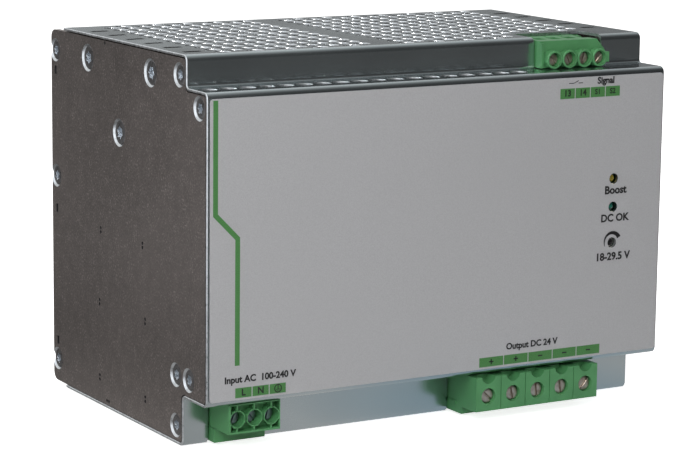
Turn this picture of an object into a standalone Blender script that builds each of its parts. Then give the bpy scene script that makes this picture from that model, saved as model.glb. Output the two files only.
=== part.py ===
"""DIN rail power supply: a bent-sheet casing with plug-in terminals, built from separate pieces.

Metres, +Z up. +X runs along the rail, from left to right as seen from the front, and +Y points
at the rail. The origin is the middle of the bracket's seat on the rail's face, so the supply
stands in front of it, at negative Y. Layout sizes are given from the casing's left, right,
front, rear, top and base, and the functions from_left to above_base turn them into places.
"""

import math

import bmesh
import bpy
from mathutils import Matrix, Vector

MM = 0.001
GAP = 0.3 * MM  # between pieces that rest on each other
REACH = 1 * MM  # how far a cutter runs past the face it opens

# Casing
BODY_WIDTH = 180 * MM
BODY_HEIGHT = 130 * MM
BODY_DEPTH = 122 * MM
RAIL_STAND_OFF = 3 * MM  # casing's rear edge to the rail's face
RAIL_ABOVE_BASE = 62 * MM
SHEET = 1 * MM
SIDE_THICKNESS = 2 * MM
BEND_RADIUS = 1.7 * MM  # at the middle of the sheet
BEND_STEPS = 4
REAR_RECESS = 10.5 * MM  # sides stand this far behind the rear plate
SIDE_CORNER_RADIUS = 3 * MM
UPPER_STEP_DEPTH = 15 * MM
UPPER_STEP_HEIGHT = 10.6 * MM
LOWER_STEP_DEPTH = 17.6 * MM
LOWER_STEP_HEIGHT = 16.6 * MM

# Front label: a film on the front panel
LABEL_THICKNESS = 0.2 * MM
LABEL_TOP_MARGIN = 12.6 * MM  # below the casing's top
LABEL_BOTTOM_MARGIN = 18.5 * MM  # above the casing's base
LABEL_SIDE_MARGIN = 0.8 * MM

# Ventilation slots, each standing for a block of round holes
SLOT_WIDTH = 5.5 * MM
SLOT_PITCH = 12.1 * MM
SLOT_ROWS = 3
SLOT_BRIDGE = 3 * MM
FIELD_SIDE_BORDER = 12 * MM
FIELD_REAR_BORDER = 12 * MM  # behind the last row, from the rear plate's side of the sheet
BAND_FROM_LEFT = 77.5 * MM
BAND_WIDTH = 7.5 * MM
TOP_FIELD_FRONT = 32 * MM
BOTTOM_FIELD_FRONT = 38 * MM
FRONT_ROW_START = 18.5 * MM
FRONT_ROW_END = 29 * MM
LEDGE_HOLE = 3.5 * MM
LEDGE_HOLE_PITCH = 7 * MM
LEDGE_HOLE_FIRST = 4.4 * MM
LEDGE_HOLE_FROM_FRONT = 8 * MM

# Countersunk casing screws
ROUND_SIDES = 12
LARGE_HEAD = 4.1 * MM  # head radius
SMALL_HEAD = 3.4 * MM
SCREW_SHANK = 1.5 * MM
SCREW_LENGTH = 5.5 * MM
HEAD_DEPTH = 1.6 * MM
DRIVE_RADIUS = 1.3 * MM
DRIVE_DEPTH = 1 * MM
SINK_DEPTH = 0.2 * MM  # heads sit this far below the plate's face

# Terminals
CUT_OUT_GAP = 0.6 * MM
TERMINAL_SLOT = 0.8 * MM
TERMINAL_TOP = 16 * MM  # of both power terminals, which hang under the main board

INPUT_PITCH = 6.35 * MM
INPUT_POLES = 3
INPUT_FROM_LEFT = 19.4 * MM  # middle of the plug
INPUT_FRONT = 3.7 * MM
INPUT_BOTTOM = 6 * MM
INPUT_SCREW_HEIGHT = 10.9 * MM
INPUT_WELL_RADIUS = 2.6 * MM
INPUT_SCREW_RADIUS = 2.2 * MM
INPUT_SCREW_DEPTH = 3.6 * MM  # head's face behind the plug's face
INPUT_WIRE_HOLE = 3.8 * MM
HEADER_FOOT_BOTTOM = 0.9 * MM
HEADER_FOOT_FRONT = 14.2 * MM
HEADER_REAR = 31 * MM
HEADER_WALL = 1.4 * MM
TAIL_LENGTH = 8 * MM

OUTPUT_PITCH = 10.16 * MM
OUTPUT_POLES = 5
OUTPUT_FROM_RIGHT = 51 * MM
OUTPUT_BOTTOM = 3.5 * MM
OUTPUT_FOOT_FRONT = 9.3 * MM
OUTPUT_FOOT_BOTTOM = 0.9 * MM
OUTPUT_REAR = 31 * MM
OUTPUT_SCREW_HEIGHT = 8.7 * MM
OUTPUT_WELL_RADIUS = 2.8 * MM
OUTPUT_SCREW_RADIUS = 2.5 * MM
OUTPUT_SCREW_DEPTH = 1 * MM
OUTPUT_WIRE_WIDTH = 7.2 * MM
OUTPUT_WIRE_DEPTH = 4.8 * MM
OUTPUT_WIRE_FRONT = 4.2 * MM
OUTPUT_WIRE_TOP = 12.6 * MM
OUTPUT_NOTCH_RADIUS = 2.7 * MM
OUTPUT_NOTCH_DEPTH = 5 * MM

SIGNAL_PITCH = 6.35 * MM
SIGNAL_POLES = 4
SIGNAL_FROM_RIGHT = 31.4 * MM
SIGNAL_END_WALL = 2 * MM  # beyond the last pole, both ends together
SIGNAL_CUP_FRONT = 8.8 * MM
SIGNAL_FACE = 11.9 * MM
SIGNAL_REAR = 27.6 * MM
SIGNAL_TOP = 1 * MM  # below the casing's top
SIGNAL_CHAMFER = 3.4 * MM
SIGNAL_SCREW_BELOW_TOP = 7.3 * MM
SIGNAL_CUP_RADIUS = 3.05 * MM
SIGNAL_WELL_RADIUS = 2.45 * MM
SIGNAL_SCREW_RADIUS = 2.1 * MM
SIGNAL_SCREW_DEPTH = 1.5 * MM
SIGNAL_WIRE_WIDTH = 3.8 * MM
SIGNAL_WIRE_DEPTH = 4.6 * MM
SIGNAL_WIRE_FRONT = 17 * MM
SIGNAL_WIRE_LENGTH = 8 * MM
SIGNAL_HEADER_REAR = 38 * MM
SCREW_HEAD_THICKNESS = 1.2 * MM
SCREW_TIP = 1 * MM

# Lamps and trimmer on the control board
CONTROLS_FROM_RIGHT = 20.9 * MM
BOOST_LAMP_BELOW_TOP = 48.9 * MM
OUTPUT_LAMP_BELOW_TOP = 58.9 * MM
TRIMMER_BELOW_TOP = 71.6 * MM
LAMP_RADIUS = 1.45 * MM
LAMP_HOLE = 1.85 * MM
LAMP_FACE = 0.9 * MM
TRIMMER_RADIUS = 1.5 * MM
TRIMMER_FACE = 1.4 * MM
TRIMMER_BODY = 6.6 * MM
TRIMMER_BODY_FRONT = 5.4 * MM
TRIMMER_SLOT = 0.6 * MM
CONTROL_BOARD_FRONT = 12 * MM
CONTROL_BOARD_FROM_RIGHT = (5 * MM, 42 * MM)
CONTROL_BOARD_BELOW_TOP = (30 * MM, 85 * MM)
BOARD = 1.6 * MM

# Main board and what stands on it
MAIN_BOARD_FRONT = 22 * MM
MAIN_BOARD_SIDE_MARGIN = 7 * MM
MAIN_BOARD_REAR_MARGIN = 16 * MM
BULK_CAPACITOR_RADIUS = 16 * MM
BULK_CAPACITOR_HEIGHT = 50 * MM
BULK_CAPACITOR_FROM_LEFT = 50 * MM
BULK_CAPACITORS_FROM_FRONT = (43 * MM, 79 * MM)
OUTPUT_CAPACITOR_RADIUS = 8 * MM
OUTPUT_CAPACITOR_HEIGHT = 32 * MM
OUTPUT_CAPACITOR_FROM_RIGHT = 24 * MM
OUTPUT_CAPACITORS_FROM_FRONT = (52 * MM, 72 * MM)
PRIMARY_SINK_FROM_LEFT = 72 * MM
SECONDARY_SINK_FROM_RIGHT = 38 * MM
SINK_BASE = 3 * MM
SINK_FIN = 1.4 * MM
SINK_FIN_LENGTH = 9 * MM
SINK_FINS = 6
SINK_FRONT = 30 * MM
SINK_REAR_MARGIN = 20 * MM
SINK_TOP_MARGIN = 18 * MM  # below the casing's top
TRANSFORMER_FROM_RIGHT = 76 * MM
TRANSFORMER_FROM_FRONT = 48 * MM
TRANSFORMER_SIZE = (30 * MM, 44 * MM, 42 * MM)
TRANSFORMER_CORE = 8 * MM
OUTPUT_CHOKE_FROM_FRONT = 88 * MM
CHOKE_RADIUS = 10.5 * MM
CHOKE_TUBE = 4.5 * MM
LINE_CHOKE_FROM_LEFT = 20 * MM
LINE_CHOKE_FROM_FRONT = 44 * MM
LINE_CHOKE_RADIUS = 8 * MM
FUSE_RADIUS = 3 * MM
FUSE_LENGTH = 20 * MM
FUSE_FROM_FRONT = 78 * MM
RELAY_FROM_RIGHT = 24 * MM
RELAY_FROM_FRONT = 92 * MM
RELAY_SIZE = (14 * MM, 12 * MM, 15 * MM)

# Rail bracket, its latch and spring. Heights here are from the rail's middle.
RAIL_HALF = 17.5 * MM
RAIL_THICKNESS = 1 * MM
RAIL_CLEARANCE = 0.35 * MM
HOOK_OVERLAP = 2.5 * MM
HOOK_THICKNESS = 2 * MM
HOOK_ROOT = 3.6 * MM
BRACKET_WIDTH = 110 * MM
BRACKET_WALL = 2.5 * MM
BRACKET_TOP = 26 * MM
BRACKET_BOTTOM = -46 * MM
SEAT_RIB = 4 * MM
SEAT_RELIEF = 0.6 * MM  # the seat is lower behind the hook and behind the latch's nose
SEAT_RELIEF_MARGIN = 0.5 * MM
BRACKET_SCREW_FROM_MIDDLE = 45 * MM
BRACKET_SCREW_HEIGHT = -31 * MM
BRACKET_SCREW_HEAD = 3.5 * MM
LATCH_WIDTH = 36 * MM
LATCH_THICKNESS = 4 * MM
LATCH_BOTTOM = -56 * MM
LATCH_TRAVEL = 5 * MM
LATCH_SLOT = (7 * MM, 3.8 * MM)
GUIDE_WALL = 3.5 * MM
GUIDE_LIP = 3 * MM
WINDOW_WIDTH = 8 * MM
WINDOW_TOP = -24.5 * MM
WINDOW_BOTTOM = -43 * MM
PEG_WIDTH = 6 * MM
PEG_HEIGHT = 2.5 * MM
PEG_TOP = -38.5 * MM
SPRING_RADIUS = 2 * MM
SPRING_WIRE = 0.4 * MM
SPRING_TURNS = 5
SPRING_POINTS_PER_TURN = 10

# Colour, roughness and metallic value of each finish
FINISHES = {
    "bare steel": ((0.36, 0.34, 0.32), 0.42, 0.9),
    "cover sheet": ((0.42, 0.46, 0.49), 0.38, 0.7),
    "label film": ((0.56, 0.56, 0.57), 0.5, 0.2),
    "terminal green": ((0.10, 0.42, 0.17), 0.4, 0.0),
    "plated screw": ((0.66, 0.66, 0.67), 0.28, 1.0),
    "aluminium": ((0.68, 0.69, 0.70), 0.4, 1.0),
    "black plastic": ((0.03, 0.03, 0.03), 0.45, 0.0),
    "circuit board": ((0.05, 0.22, 0.09), 0.45, 0.0),
    "ferrite": ((0.06, 0.06, 0.065), 0.6, 0.1),
    "copper wire": ((0.55, 0.25, 0.10), 0.35, 0.8),
    "capacitor sleeve": ((0.05, 0.06, 0.09), 0.35, 0.0),
    "amber lens": ((0.75, 0.60, 0.08), 0.25, 0.0),
    "green lens": ((0.10, 0.55, 0.35), 0.25, 0.0),
    "trimmer plastic": ((0.75, 0.74, 0.70), 0.45, 0.0),
    "fuse glass": ((0.75, 0.76, 0.74), 0.2, 0.0),
}


# Places from the casing's sides


def from_left(distance):
    return distance - BODY_WIDTH / 2


def from_right(distance):
    return BODY_WIDTH / 2 - distance


def from_front(distance):
    return distance - BODY_DEPTH - RAIL_STAND_OFF


def from_rear(distance):
    return -RAIL_STAND_OFF - distance


def above_base(distance):
    return distance - RAIL_ABOVE_BASE


def from_top(distance):
    return BODY_HEIGHT - RAIL_ABOVE_BASE - distance


# Solids, built in place and joined or cut by one another


def solid_of(shape):
    """A new object from a bmesh, with its faces turned outwards."""
    bmesh.ops.recalc_face_normals(shape, faces=shape.faces)
    mesh = bpy.data.meshes.new("solid")
    shape.to_mesh(mesh)
    shape.free()
    solid = bpy.data.objects.new("solid", mesh)
    bpy.context.scene.collection.objects.link(solid)
    return solid


def boxes(corners):
    """One object of boxes that don't touch, each given by its lowest and highest corner."""
    shape = bmesh.new()
    for low, high in corners:
        low, high = Vector(low), Vector(high)
        size = Matrix.Diagonal(high - low).to_4x4()
        place = Matrix.Translation((low + high) / 2)
        bmesh.ops.create_cube(shape, size=1, matrix=place @ size)
    return solid_of(shape)


def box(low, high):
    return boxes([(low, high)])


def rod(start, end, radius, end_radius=None, sides=ROUND_SIDES):
    """A cylinder from start to end, or a cone where the radii differ."""
    start, end = Vector(start), Vector(end)
    along = end - start
    turn = Vector((0, 0, 1)).rotation_difference(along).to_matrix().to_4x4()
    shape = bmesh.new()
    bmesh.ops.create_cone(
        shape,
        cap_ends=True,
        segments=sides,
        radius1=radius,
        radius2=radius if end_radius is None else end_radius,
        depth=along.length,
        matrix=Matrix.Translation((start + end) / 2) @ turn,
    )
    return solid_of(shape)


def prism(outline, left, right):
    """An outline in Y and Z, drawn out along X from left to right."""
    shape = bmesh.new()
    face = shape.faces.new([shape.verts.new((left, y, z)) for y, z in outline])
    drawn = bmesh.ops.extrude_face_region(shape, geom=[face])
    moved = [item for item in drawn["geom"] if isinstance(item, bmesh.types.BMVert)]
    bmesh.ops.translate(shape, verts=moved, vec=(right - left, 0, 0))
    return solid_of(shape)


def combine(body, others, operation):
    """Joins or cuts the body with each other solid, which is used up."""
    for other in others:
        modifier = body.modifiers.new(operation, "BOOLEAN")
        modifier.operation = operation
        modifier.solver = "EXACT"
        modifier.object = other
        bpy.context.view_layer.update()
        evaluated = body.evaluated_get(bpy.context.evaluated_depsgraph_get())
        mesh = bpy.data.meshes.new_from_object(evaluated)
        body.modifiers.clear()
        body.data = mesh
        bpy.data.objects.remove(other)
    return body


def join(body, *others):
    return combine(body, others, "UNION")


def cut(body, *others):
    return combine(body, others, "DIFFERENCE")


def material_of(name, finish):
    colour, roughness, metallic = FINISHES[finish]
    material = bpy.data.materials.new(name)
    material.use_nodes = True
    shader = material.node_tree.nodes["Principled BSDF"]
    shader.inputs["Base Color"].default_value = (*colour, 1)
    shader.inputs["Roughness"].default_value = roughness
    shader.inputs["Metallic"].default_value = metallic
    return material


def settle(solid, name, finish, origin, parent=None, smooth=False):
    """Names a finished solid, gives it its material, and moves its origin to where it belongs."""
    origin = Vector(origin)
    solid.name = name
    solid.data.name = name
    solid.data.transform(Matrix.Translation(-origin))
    solid.data.materials.clear()
    solid.data.materials.append(material_of(name, finish))
    if smooth:
        solid.data.shade_smooth()
        solid.data.set_sharp_from_angle(angle=math.radians(35))
    solid.parent = parent
    solid.location = origin - (parent.location if parent else Vector())
    return solid


def copy_of(mesh, name, finish, place, rotation, parent=None):
    """A piece from a shared shape, whose head's face is at its origin and looks along +Z."""
    piece = bpy.data.objects.new(name, mesh.copy())
    piece.data.name = name
    piece.data.materials.append(material_of(name, finish))
    bpy.context.scene.collection.objects.link(piece)
    piece.parent = parent
    piece.location = Vector(place) - (parent.location if parent else Vector())
    piece.rotation_euler = rotation
    return piece


def shape_for_copies(solid):
    mesh = solid.data
    bpy.data.objects.remove(solid)
    mesh.shade_smooth()
    mesh.set_sharp_from_angle(angle=math.radians(35))
    return mesh


TO_LEFT = (0, -math.pi / 2, 0)
TO_RIGHT = (0, math.pi / 2, 0)
TO_FRONT = (math.pi / 2, 0, 0)
TO_REAR = (-math.pi / 2, 0, 0)


# Casing


def cover_line():
    """Middle of the cover's sheet, from the top's rear edge over the front to the bottom's."""
    half = SHEET / 2
    rear = from_rear(REAR_RECESS)
    top = from_top(half)
    bottom = above_base(half)
    front = from_front(LABEL_THICKNESS + GAP + half)
    upper_step = from_front(UPPER_STEP_DEPTH + half)
    ledge = from_top(UPPER_STEP_HEIGHT + half)
    lower_step = from_front(LOWER_STEP_DEPTH + half)
    lower_ledge = above_base(LOWER_STEP_HEIGHT + half)
    return [
        (rear, top),
        (upper_step, top),
        (upper_step, ledge),
        (front, ledge),
        (front, lower_ledge),
        (lower_step, lower_ledge),
        (lower_step, bottom),
        (rear, bottom),
    ]


def bent_faces(corners, offset, radius):
    """The two faces of a sheet, each this far from a middle line that bends at each corner.

    The first face is the inner one where the line runs over the top, the front and the bottom.
    """
    corners = [Vector(corner) for corner in corners]
    inner, outer = [], []

    def add(point, direction):
        aside = Vector((-direction.y, direction.x)) * offset
        inner.append(point + aside)
        outer.append(point - aside)

    add(corners[0], (corners[1] - corners[0]).normalized())
    for before, corner, after in zip(corners, corners[1:], corners[2:]):
        coming = (corner - before).normalized()
        going = (after - corner).normalized()
        turn = math.atan2(coming.cross(going), coming.dot(going))
        start = corner - coming * radius * math.tan(abs(turn) / 2)
        inward = Vector((-coming.y, coming.x)) * math.copysign(radius, turn)
        for step in range(BEND_STEPS + 1):
            swing = Matrix.Rotation(turn * step / BEND_STEPS, 2)
            add(start + inward - swing @ inward, swing @ coming)
    add(corners[-1], (corners[-1] - corners[-2]).normalized())
    return inner, outer


def slot_columns():
    """Middle of each column of ventilation slots, in the fields left and right of the band."""
    fields = (
        (from_left(FIELD_SIDE_BORDER), from_left(BAND_FROM_LEFT - BAND_WIDTH / 2)),
        (from_left(BAND_FROM_LEFT + BAND_WIDTH / 2), from_right(FIELD_SIDE_BORDER)),
    )
    columns = []
    for low, high in fields:
        count = int((high - low - SLOT_WIDTH) / SLOT_PITCH) + 1
        first = (low + high) / 2 - (count - 1) * SLOT_PITCH / 2
        columns += [first + SLOT_PITCH * index for index in range(count)]
    return columns


def slot_rows(front):
    """Start and end of each slot of a column, from front to rear."""
    low = from_front(front)
    high = from_rear(REAR_RECESS + FIELD_REAR_BORDER / 2)
    length = (high - low - SLOT_BRIDGE * (SLOT_ROWS - 1)) / SLOT_ROWS
    starts = [low + (length + SLOT_BRIDGE) * row for row in range(SLOT_ROWS)]
    return [(start, start + length) for start in starts]


def signal_cut_out():
    """Lowest and highest X of the cover's opening for the signal plug."""
    half = SIGNAL_POLES * SIGNAL_PITCH / 2 + SIGNAL_END_WALL / 2 + CUT_OUT_GAP
    return from_right(SIGNAL_FROM_RIGHT) - half, from_right(SIGNAL_FROM_RIGHT) + half


def input_sides():
    half = INPUT_POLES * INPUT_PITCH / 2
    return from_left(INPUT_FROM_LEFT) - half, from_left(INPUT_FROM_LEFT) + half


def output_sides():
    half = OUTPUT_POLES * OUTPUT_PITCH / 2
    return from_right(OUTPUT_FROM_RIGHT) - half, from_right(OUTPUT_FROM_RIGHT) + half


def pole_places(middle, poles, pitch):
    return [middle + pitch * (index - (poles - 1) / 2) for index in range(poles)]


def vent_cutter():
    """Slots through the top and the bottom, with a short front row beside the signal plug."""
    cut_left, cut_right = signal_cut_out()
    top = (from_top(SHEET + REACH), from_top(-REACH))
    bottom = (above_base(-REACH), above_base(SHEET + REACH))
    corners = []
    for middle in slot_columns():
        left, right = middle - SLOT_WIDTH / 2, middle + SLOT_WIDTH / 2
        spans = [(front, rear, top) for front, rear in slot_rows(TOP_FIELD_FRONT)]
        spans += [(front, rear, bottom) for front, rear in slot_rows(BOTTOM_FIELD_FRONT)]
        if right < cut_left - SLOT_BRIDGE or left > cut_right + SLOT_BRIDGE:
            spans.append((from_front(FRONT_ROW_START), from_front(FRONT_ROW_END), top))
        for front, rear, (low, high) in spans:
            corners.append(((left, front, low), (right, rear, high)))
    return boxes(corners)


def ledge_cutter():
    """The row of small holes along the upper ledge, up to the signal plug."""
    front = from_front(LEDGE_HOLE_FROM_FRONT - LEDGE_HOLE / 2)
    low, high = from_top(UPPER_STEP_HEIGHT + SHEET + REACH), from_top(UPPER_STEP_HEIGHT - REACH)
    end = signal_cut_out()[0] - LEDGE_HOLE_PITCH / 2
    middle = from_left(LEDGE_HOLE_FIRST)
    corners = []
    while middle + LEDGE_HOLE / 2 < end:
        left, right = middle - LEDGE_HOLE / 2, middle + LEDGE_HOLE / 2
        corners.append(((left, front, low), (right, front + LEDGE_HOLE, high)))
        middle += LEDGE_HOLE_PITCH
    return boxes(corners)


def terminal_cutter():
    """Openings for the three terminals: the signal plug's above, the power terminals' below."""
    signal_left, signal_right = signal_cut_out()
    input_left, input_right = input_sides()
    output_left, output_right = output_sides()
    step = from_front(LOWER_STEP_DEPTH - REACH)
    return boxes(
        [
            (
                (signal_left, from_front(UPPER_STEP_DEPTH - REACH), from_top(UPPER_STEP_HEIGHT)),
                (signal_right, from_front(SIGNAL_REAR + CUT_OUT_GAP), from_top(-REACH)),
            ),
            (
                (input_left - CUT_OUT_GAP, step, above_base(-REACH)),
                (
                    input_right + CUT_OUT_GAP,
                    from_front(HEADER_REAR + CUT_OUT_GAP),
                    above_base(LOWER_STEP_HEIGHT),
                ),
            ),
            (
                (output_left - CUT_OUT_GAP, step, above_base(-REACH)),
                (
                    output_right + CUT_OUT_GAP,
                    from_front(OUTPUT_REAR + CUT_OUT_GAP),
                    above_base(LOWER_STEP_HEIGHT),
                ),
            ),
        ]
    )


def control_holes():
    """Cutters for the lamps' and the trimmer's holes, through the panel and the label."""
    x = from_right(CONTROLS_FROM_RIGHT)
    front, rear = from_front(-REACH), from_front(SHEET + LABEL_THICKNESS + GAP + REACH)
    heights = (
        from_top(BOOST_LAMP_BELOW_TOP),
        from_top(OUTPUT_LAMP_BELOW_TOP),
        from_top(TRIMMER_BELOW_TOP),
    )
    return [rod((x, front, z), (x, rear, z), LAMP_HOLE) for z in heights]


def build_cover():
    inner, outer = bent_faces(cover_line(), SHEET / 2, BEND_RADIUS)
    cover = prism(inner + outer[::-1], from_left(0), from_right(0))
    cut(cover, vent_cutter(), ledge_cutter(), terminal_cutter(), *control_holes())
    settle(cover, "cover", "cover sheet", (0, from_front(0), above_base(0)))


def build_label():
    label = box(
        (
            from_left(LABEL_SIDE_MARGIN),
            from_front(0),
            above_base(LABEL_BOTTOM_MARGIN),
        ),
        (
            from_right(LABEL_SIDE_MARGIN),
            from_front(LABEL_THICKNESS),
            from_top(LABEL_TOP_MARGIN),
        ),
    )
    cut(label, *control_holes())
    settle(label, "front_label", "label film", (0, from_front(0), 0))


def side_outline():
    """A side plate's outline: it fills the cover and stands behind it, with round rear corners."""
    outline, _ = bent_faces(cover_line(), SHEET / 2 + GAP, BEND_RADIUS)
    inset = SHEET + GAP
    rear = from_rear(SIDE_CORNER_RADIUS)
    corners = (
        (above_base(inset + SIDE_CORNER_RADIUS), -90),
        (from_top(inset + SIDE_CORNER_RADIUS), 0),
    )
    for height, start in corners:
        for step in range(BEND_STEPS + 1):
            angle = math.radians(start + 90 * step / BEND_STEPS)
            reach = Vector((math.cos(angle), math.sin(angle))) * SIDE_CORNER_RADIUS
            outline.append(Vector((rear, height)) + reach)
    return outline


def left_screw_places():
    """Y, Z and head radius of each screw in the left side."""
    return [
        (from_rear(3.5 * MM), from_top(8.5 * MM), SMALL_HEAD),
        (from_rear(31 * MM), from_top(8.5 * MM), LARGE_HEAD),
        (from_front(41.5 * MM), from_top(8.5 * MM), LARGE_HEAD),
        (from_front(UPPER_STEP_DEPTH + 5.2 * MM), from_top(6.9 * MM), SMALL_HEAD),
        (from_front(6 * MM), from_top(UPPER_STEP_HEIGHT + 5.6 * MM), SMALL_HEAD),
        (from_front(65.9 * MM), from_top(31.5 * MM), LARGE_HEAD),
        (from_rear(3.6 * MM), above_base(76.5 * MM), SMALL_HEAD),
        (from_rear(3.5 * MM), above_base(9.4 * MM), SMALL_HEAD),
        (
            from_front(LOWER_STEP_DEPTH + 5.2 * MM),
            above_base(LOWER_STEP_HEIGHT + 6.8 * MM),
            SMALL_HEAD,
        ),
        (from_front(13.5 * MM), above_base(LOWER_STEP_HEIGHT + 6.8 * MM), SMALL_HEAD),
        (from_front(LOWER_STEP_DEPTH + 5.2 * MM), above_base(6.3 * MM), SMALL_HEAD),
    ]


def right_screw_places():
    """The right side has the left's screws near its four corners and in its middle."""
    places = left_screw_places()
    return [places[index] for index in (0, 3, 5, 7, 10)]


def countersunk_screw(head):
    screw = rod((0, 0, 0), (0, 0, -HEAD_DEPTH), head, SCREW_SHANK)
    join(screw, rod((0, 0, -HEAD_DEPTH / 2), (0, 0, -SCREW_LENGTH), SCREW_SHANK))
    cut(screw, rod((0, 0, REACH), (0, 0, -DRIVE_DEPTH), DRIVE_RADIUS, sides=6))
    return shape_for_copies(screw)


def countersunk_hole(outer_x, inward, y, z, head):
    """Cutter for a countersunk hole: a cone as wide as the head and a clearance, then a bore."""
    bore = SCREW_SHANK + GAP
    mouth = head + GAP + SINK_DEPTH
    sink = HEAD_DEPTH + SINK_DEPTH
    profile = [
        (-REACH, 0),
        (-REACH, mouth),
        (0, mouth),
        (sink, bore),
        (SIDE_THICKNESS + REACH, bore),
        (SIDE_THICKNESS + REACH, 0),
    ]
    shape = bmesh.new()
    line = [shape.verts.new((inward * depth, radius, 0)) for depth, radius in profile]
    edges = [shape.edges.new(pair) for pair in zip(line, line[1:])]
    bmesh.ops.spin(
        shape,
        geom=line + edges,
        cent=(0, 0, 0),
        axis=(1, 0, 0),
        angle=2 * math.pi,
        steps=ROUND_SIDES,
        use_merge=True,
    )
    bmesh.ops.remove_doubles(shape, verts=shape.verts, dist=0.001 * MM)
    bmesh.ops.translate(shape, verts=shape.verts, vec=(outer_x, y, z))
    return solid_of(shape)


def build_sides():
    shapes = {head: countersunk_screw(head) for head in (LARGE_HEAD, SMALL_HEAD)}
    sides = (
        ("left", from_left(0), 1, TO_LEFT, left_screw_places()),
        ("right", from_right(0), -1, TO_RIGHT, right_screw_places()),
    )
    for side, outer_x, inward, facing, places in sides:
        inner_x = outer_x + inward * SIDE_THICKNESS
        plate = prism(side_outline(), min(outer_x, inner_x), max(outer_x, inner_x))
        cut(plate, *(countersunk_hole(outer_x, inward, *place) for place in places))
        settle(plate, f"{side}_side_plate", "bare steel", (outer_x, from_rear(0), above_base(0)))
        for number, (y, z, head) in enumerate(places, 1):
            copy_of(
                shapes[head],
                f"{side}_screw_{number}",
                "plated screw",
                (outer_x + inward * SINK_DEPTH, y, z),
                facing,
            )


def bracket_screw_places():
    return [(side * BRACKET_SCREW_FROM_MIDDLE, BRACKET_SCREW_HEIGHT) for side in (-1, 1)]


def build_rear_plate():
    inset = SIDE_THICKNESS + GAP
    rear = from_rear(REAR_RECESS + GAP)
    front = rear - SHEET
    plate = box(
        (from_left(inset), front, above_base(SHEET + GAP)),
        (from_right(inset), rear, from_top(SHEET + GAP)),
    )
    holes = [
        rod((x, front - REACH, z), (x, rear + REACH, z), SCREW_SHANK + GAP)
        for x, z in bracket_screw_places()
    ]
    cut(plate, *holes)
    settle(plate, "rear_plate", "bare steel", (0, rear, 0))


# Terminals


def terminal_screw(head):
    screw = rod((0, 0, 0), (0, 0, -SCREW_HEAD_THICKNESS), head)
    tip = SCREW_HEAD_THICKNESS + SCREW_TIP
    join(screw, rod((0, 0, -SCREW_HEAD_THICKNESS / 2), (0, 0, -tip), head * 0.6))
    slot = box(
        (-TERMINAL_SLOT / 2, -head - REACH, -SCREW_HEAD_THICKNESS / 2),
        (TERMINAL_SLOT / 2, head + REACH, REACH),
    )
    return shape_for_copies(cut(screw, slot))


def place_terminal_screws(prefix, block, head, xs, face, z):
    """Slotted screws that turn in their wells, carried by the terminal they are in."""
    shape = terminal_screw(head)
    for number, x in enumerate(xs, 1):
        name = f"{prefix}_screw_{number}"
        copy_of(shape, name, "plated screw", (x, face, z), TO_FRONT, parent=block)


def wells(xs, face, z, radius, head, screw_face):
    """Cutters for the screw wells: wide for the head, then narrower for the shank."""
    cutters = []
    bottom = screw_face + SCREW_HEAD_THICKNESS + GAP
    for x in xs:
        cutters.append(rod((x, face - REACH, z), (x, bottom, z), radius))
        end = bottom + SCREW_TIP + GAP
        cutters.append(rod((x, bottom - REACH, z), (x, end, z), head * 0.6 + GAP))
    return cutters


def build_input():
    left, right = input_sides()
    xs = pole_places(from_left(INPUT_FROM_LEFT), INPUT_POLES, INPUT_PITCH)
    front, rear = from_front(INPUT_FRONT), from_front(LOWER_STEP_DEPTH)
    bottom, top = above_base(INPUT_BOTTOM), above_base(TERMINAL_TOP)
    tail_low = Vector((left + HEADER_WALL, rear - REACH, bottom + HEADER_WALL))
    tail_high = Vector((right - HEADER_WALL, rear + TAIL_LENGTH, top - HEADER_WALL))
    plug = join(box((left, front, bottom), (right, rear, top)), box(tail_low, tail_high))
    screw_face = front + INPUT_SCREW_DEPTH
    z = above_base(INPUT_SCREW_HEIGHT)
    cut(plug, *wells(xs, front, z, INPUT_WELL_RADIUS, INPUT_SCREW_RADIUS, screw_face))
    wire_rear = from_front(HEADER_FOOT_FRONT) - GAP
    half = INPUT_WIRE_HOLE / 2
    wire_low, wire_high = bottom - REACH, z + half
    wire_front = wire_rear - INPUT_WIRE_HOLE
    cut(
        plug,
        boxes([((x - half, wire_front, wire_low), (x + half, wire_rear, wire_high)) for x in xs]),
    )
    middle = from_left(INPUT_FROM_LEFT)
    settle(plug, "input_plug", "terminal green", (middle, front, z))
    place_terminal_screws("input", plug, INPUT_SCREW_RADIUS, xs, screw_face, z)

    foot_bottom = above_base(HEADER_FOOT_BOTTOM)
    header_rear = from_front(HEADER_REAR)
    header = join(
        box(
            (left, from_front(HEADER_FOOT_FRONT), foot_bottom),
            (right, header_rear, bottom - GAP),
        ),
        box((left, rear + GAP, foot_bottom), (right, header_rear, top)),
    )
    room = Vector((GAP, GAP, GAP))
    cut(header, box(tail_low - room, tail_high + room))
    settle(header, "input_header", "terminal green", (middle, header_rear, foot_bottom))


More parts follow.
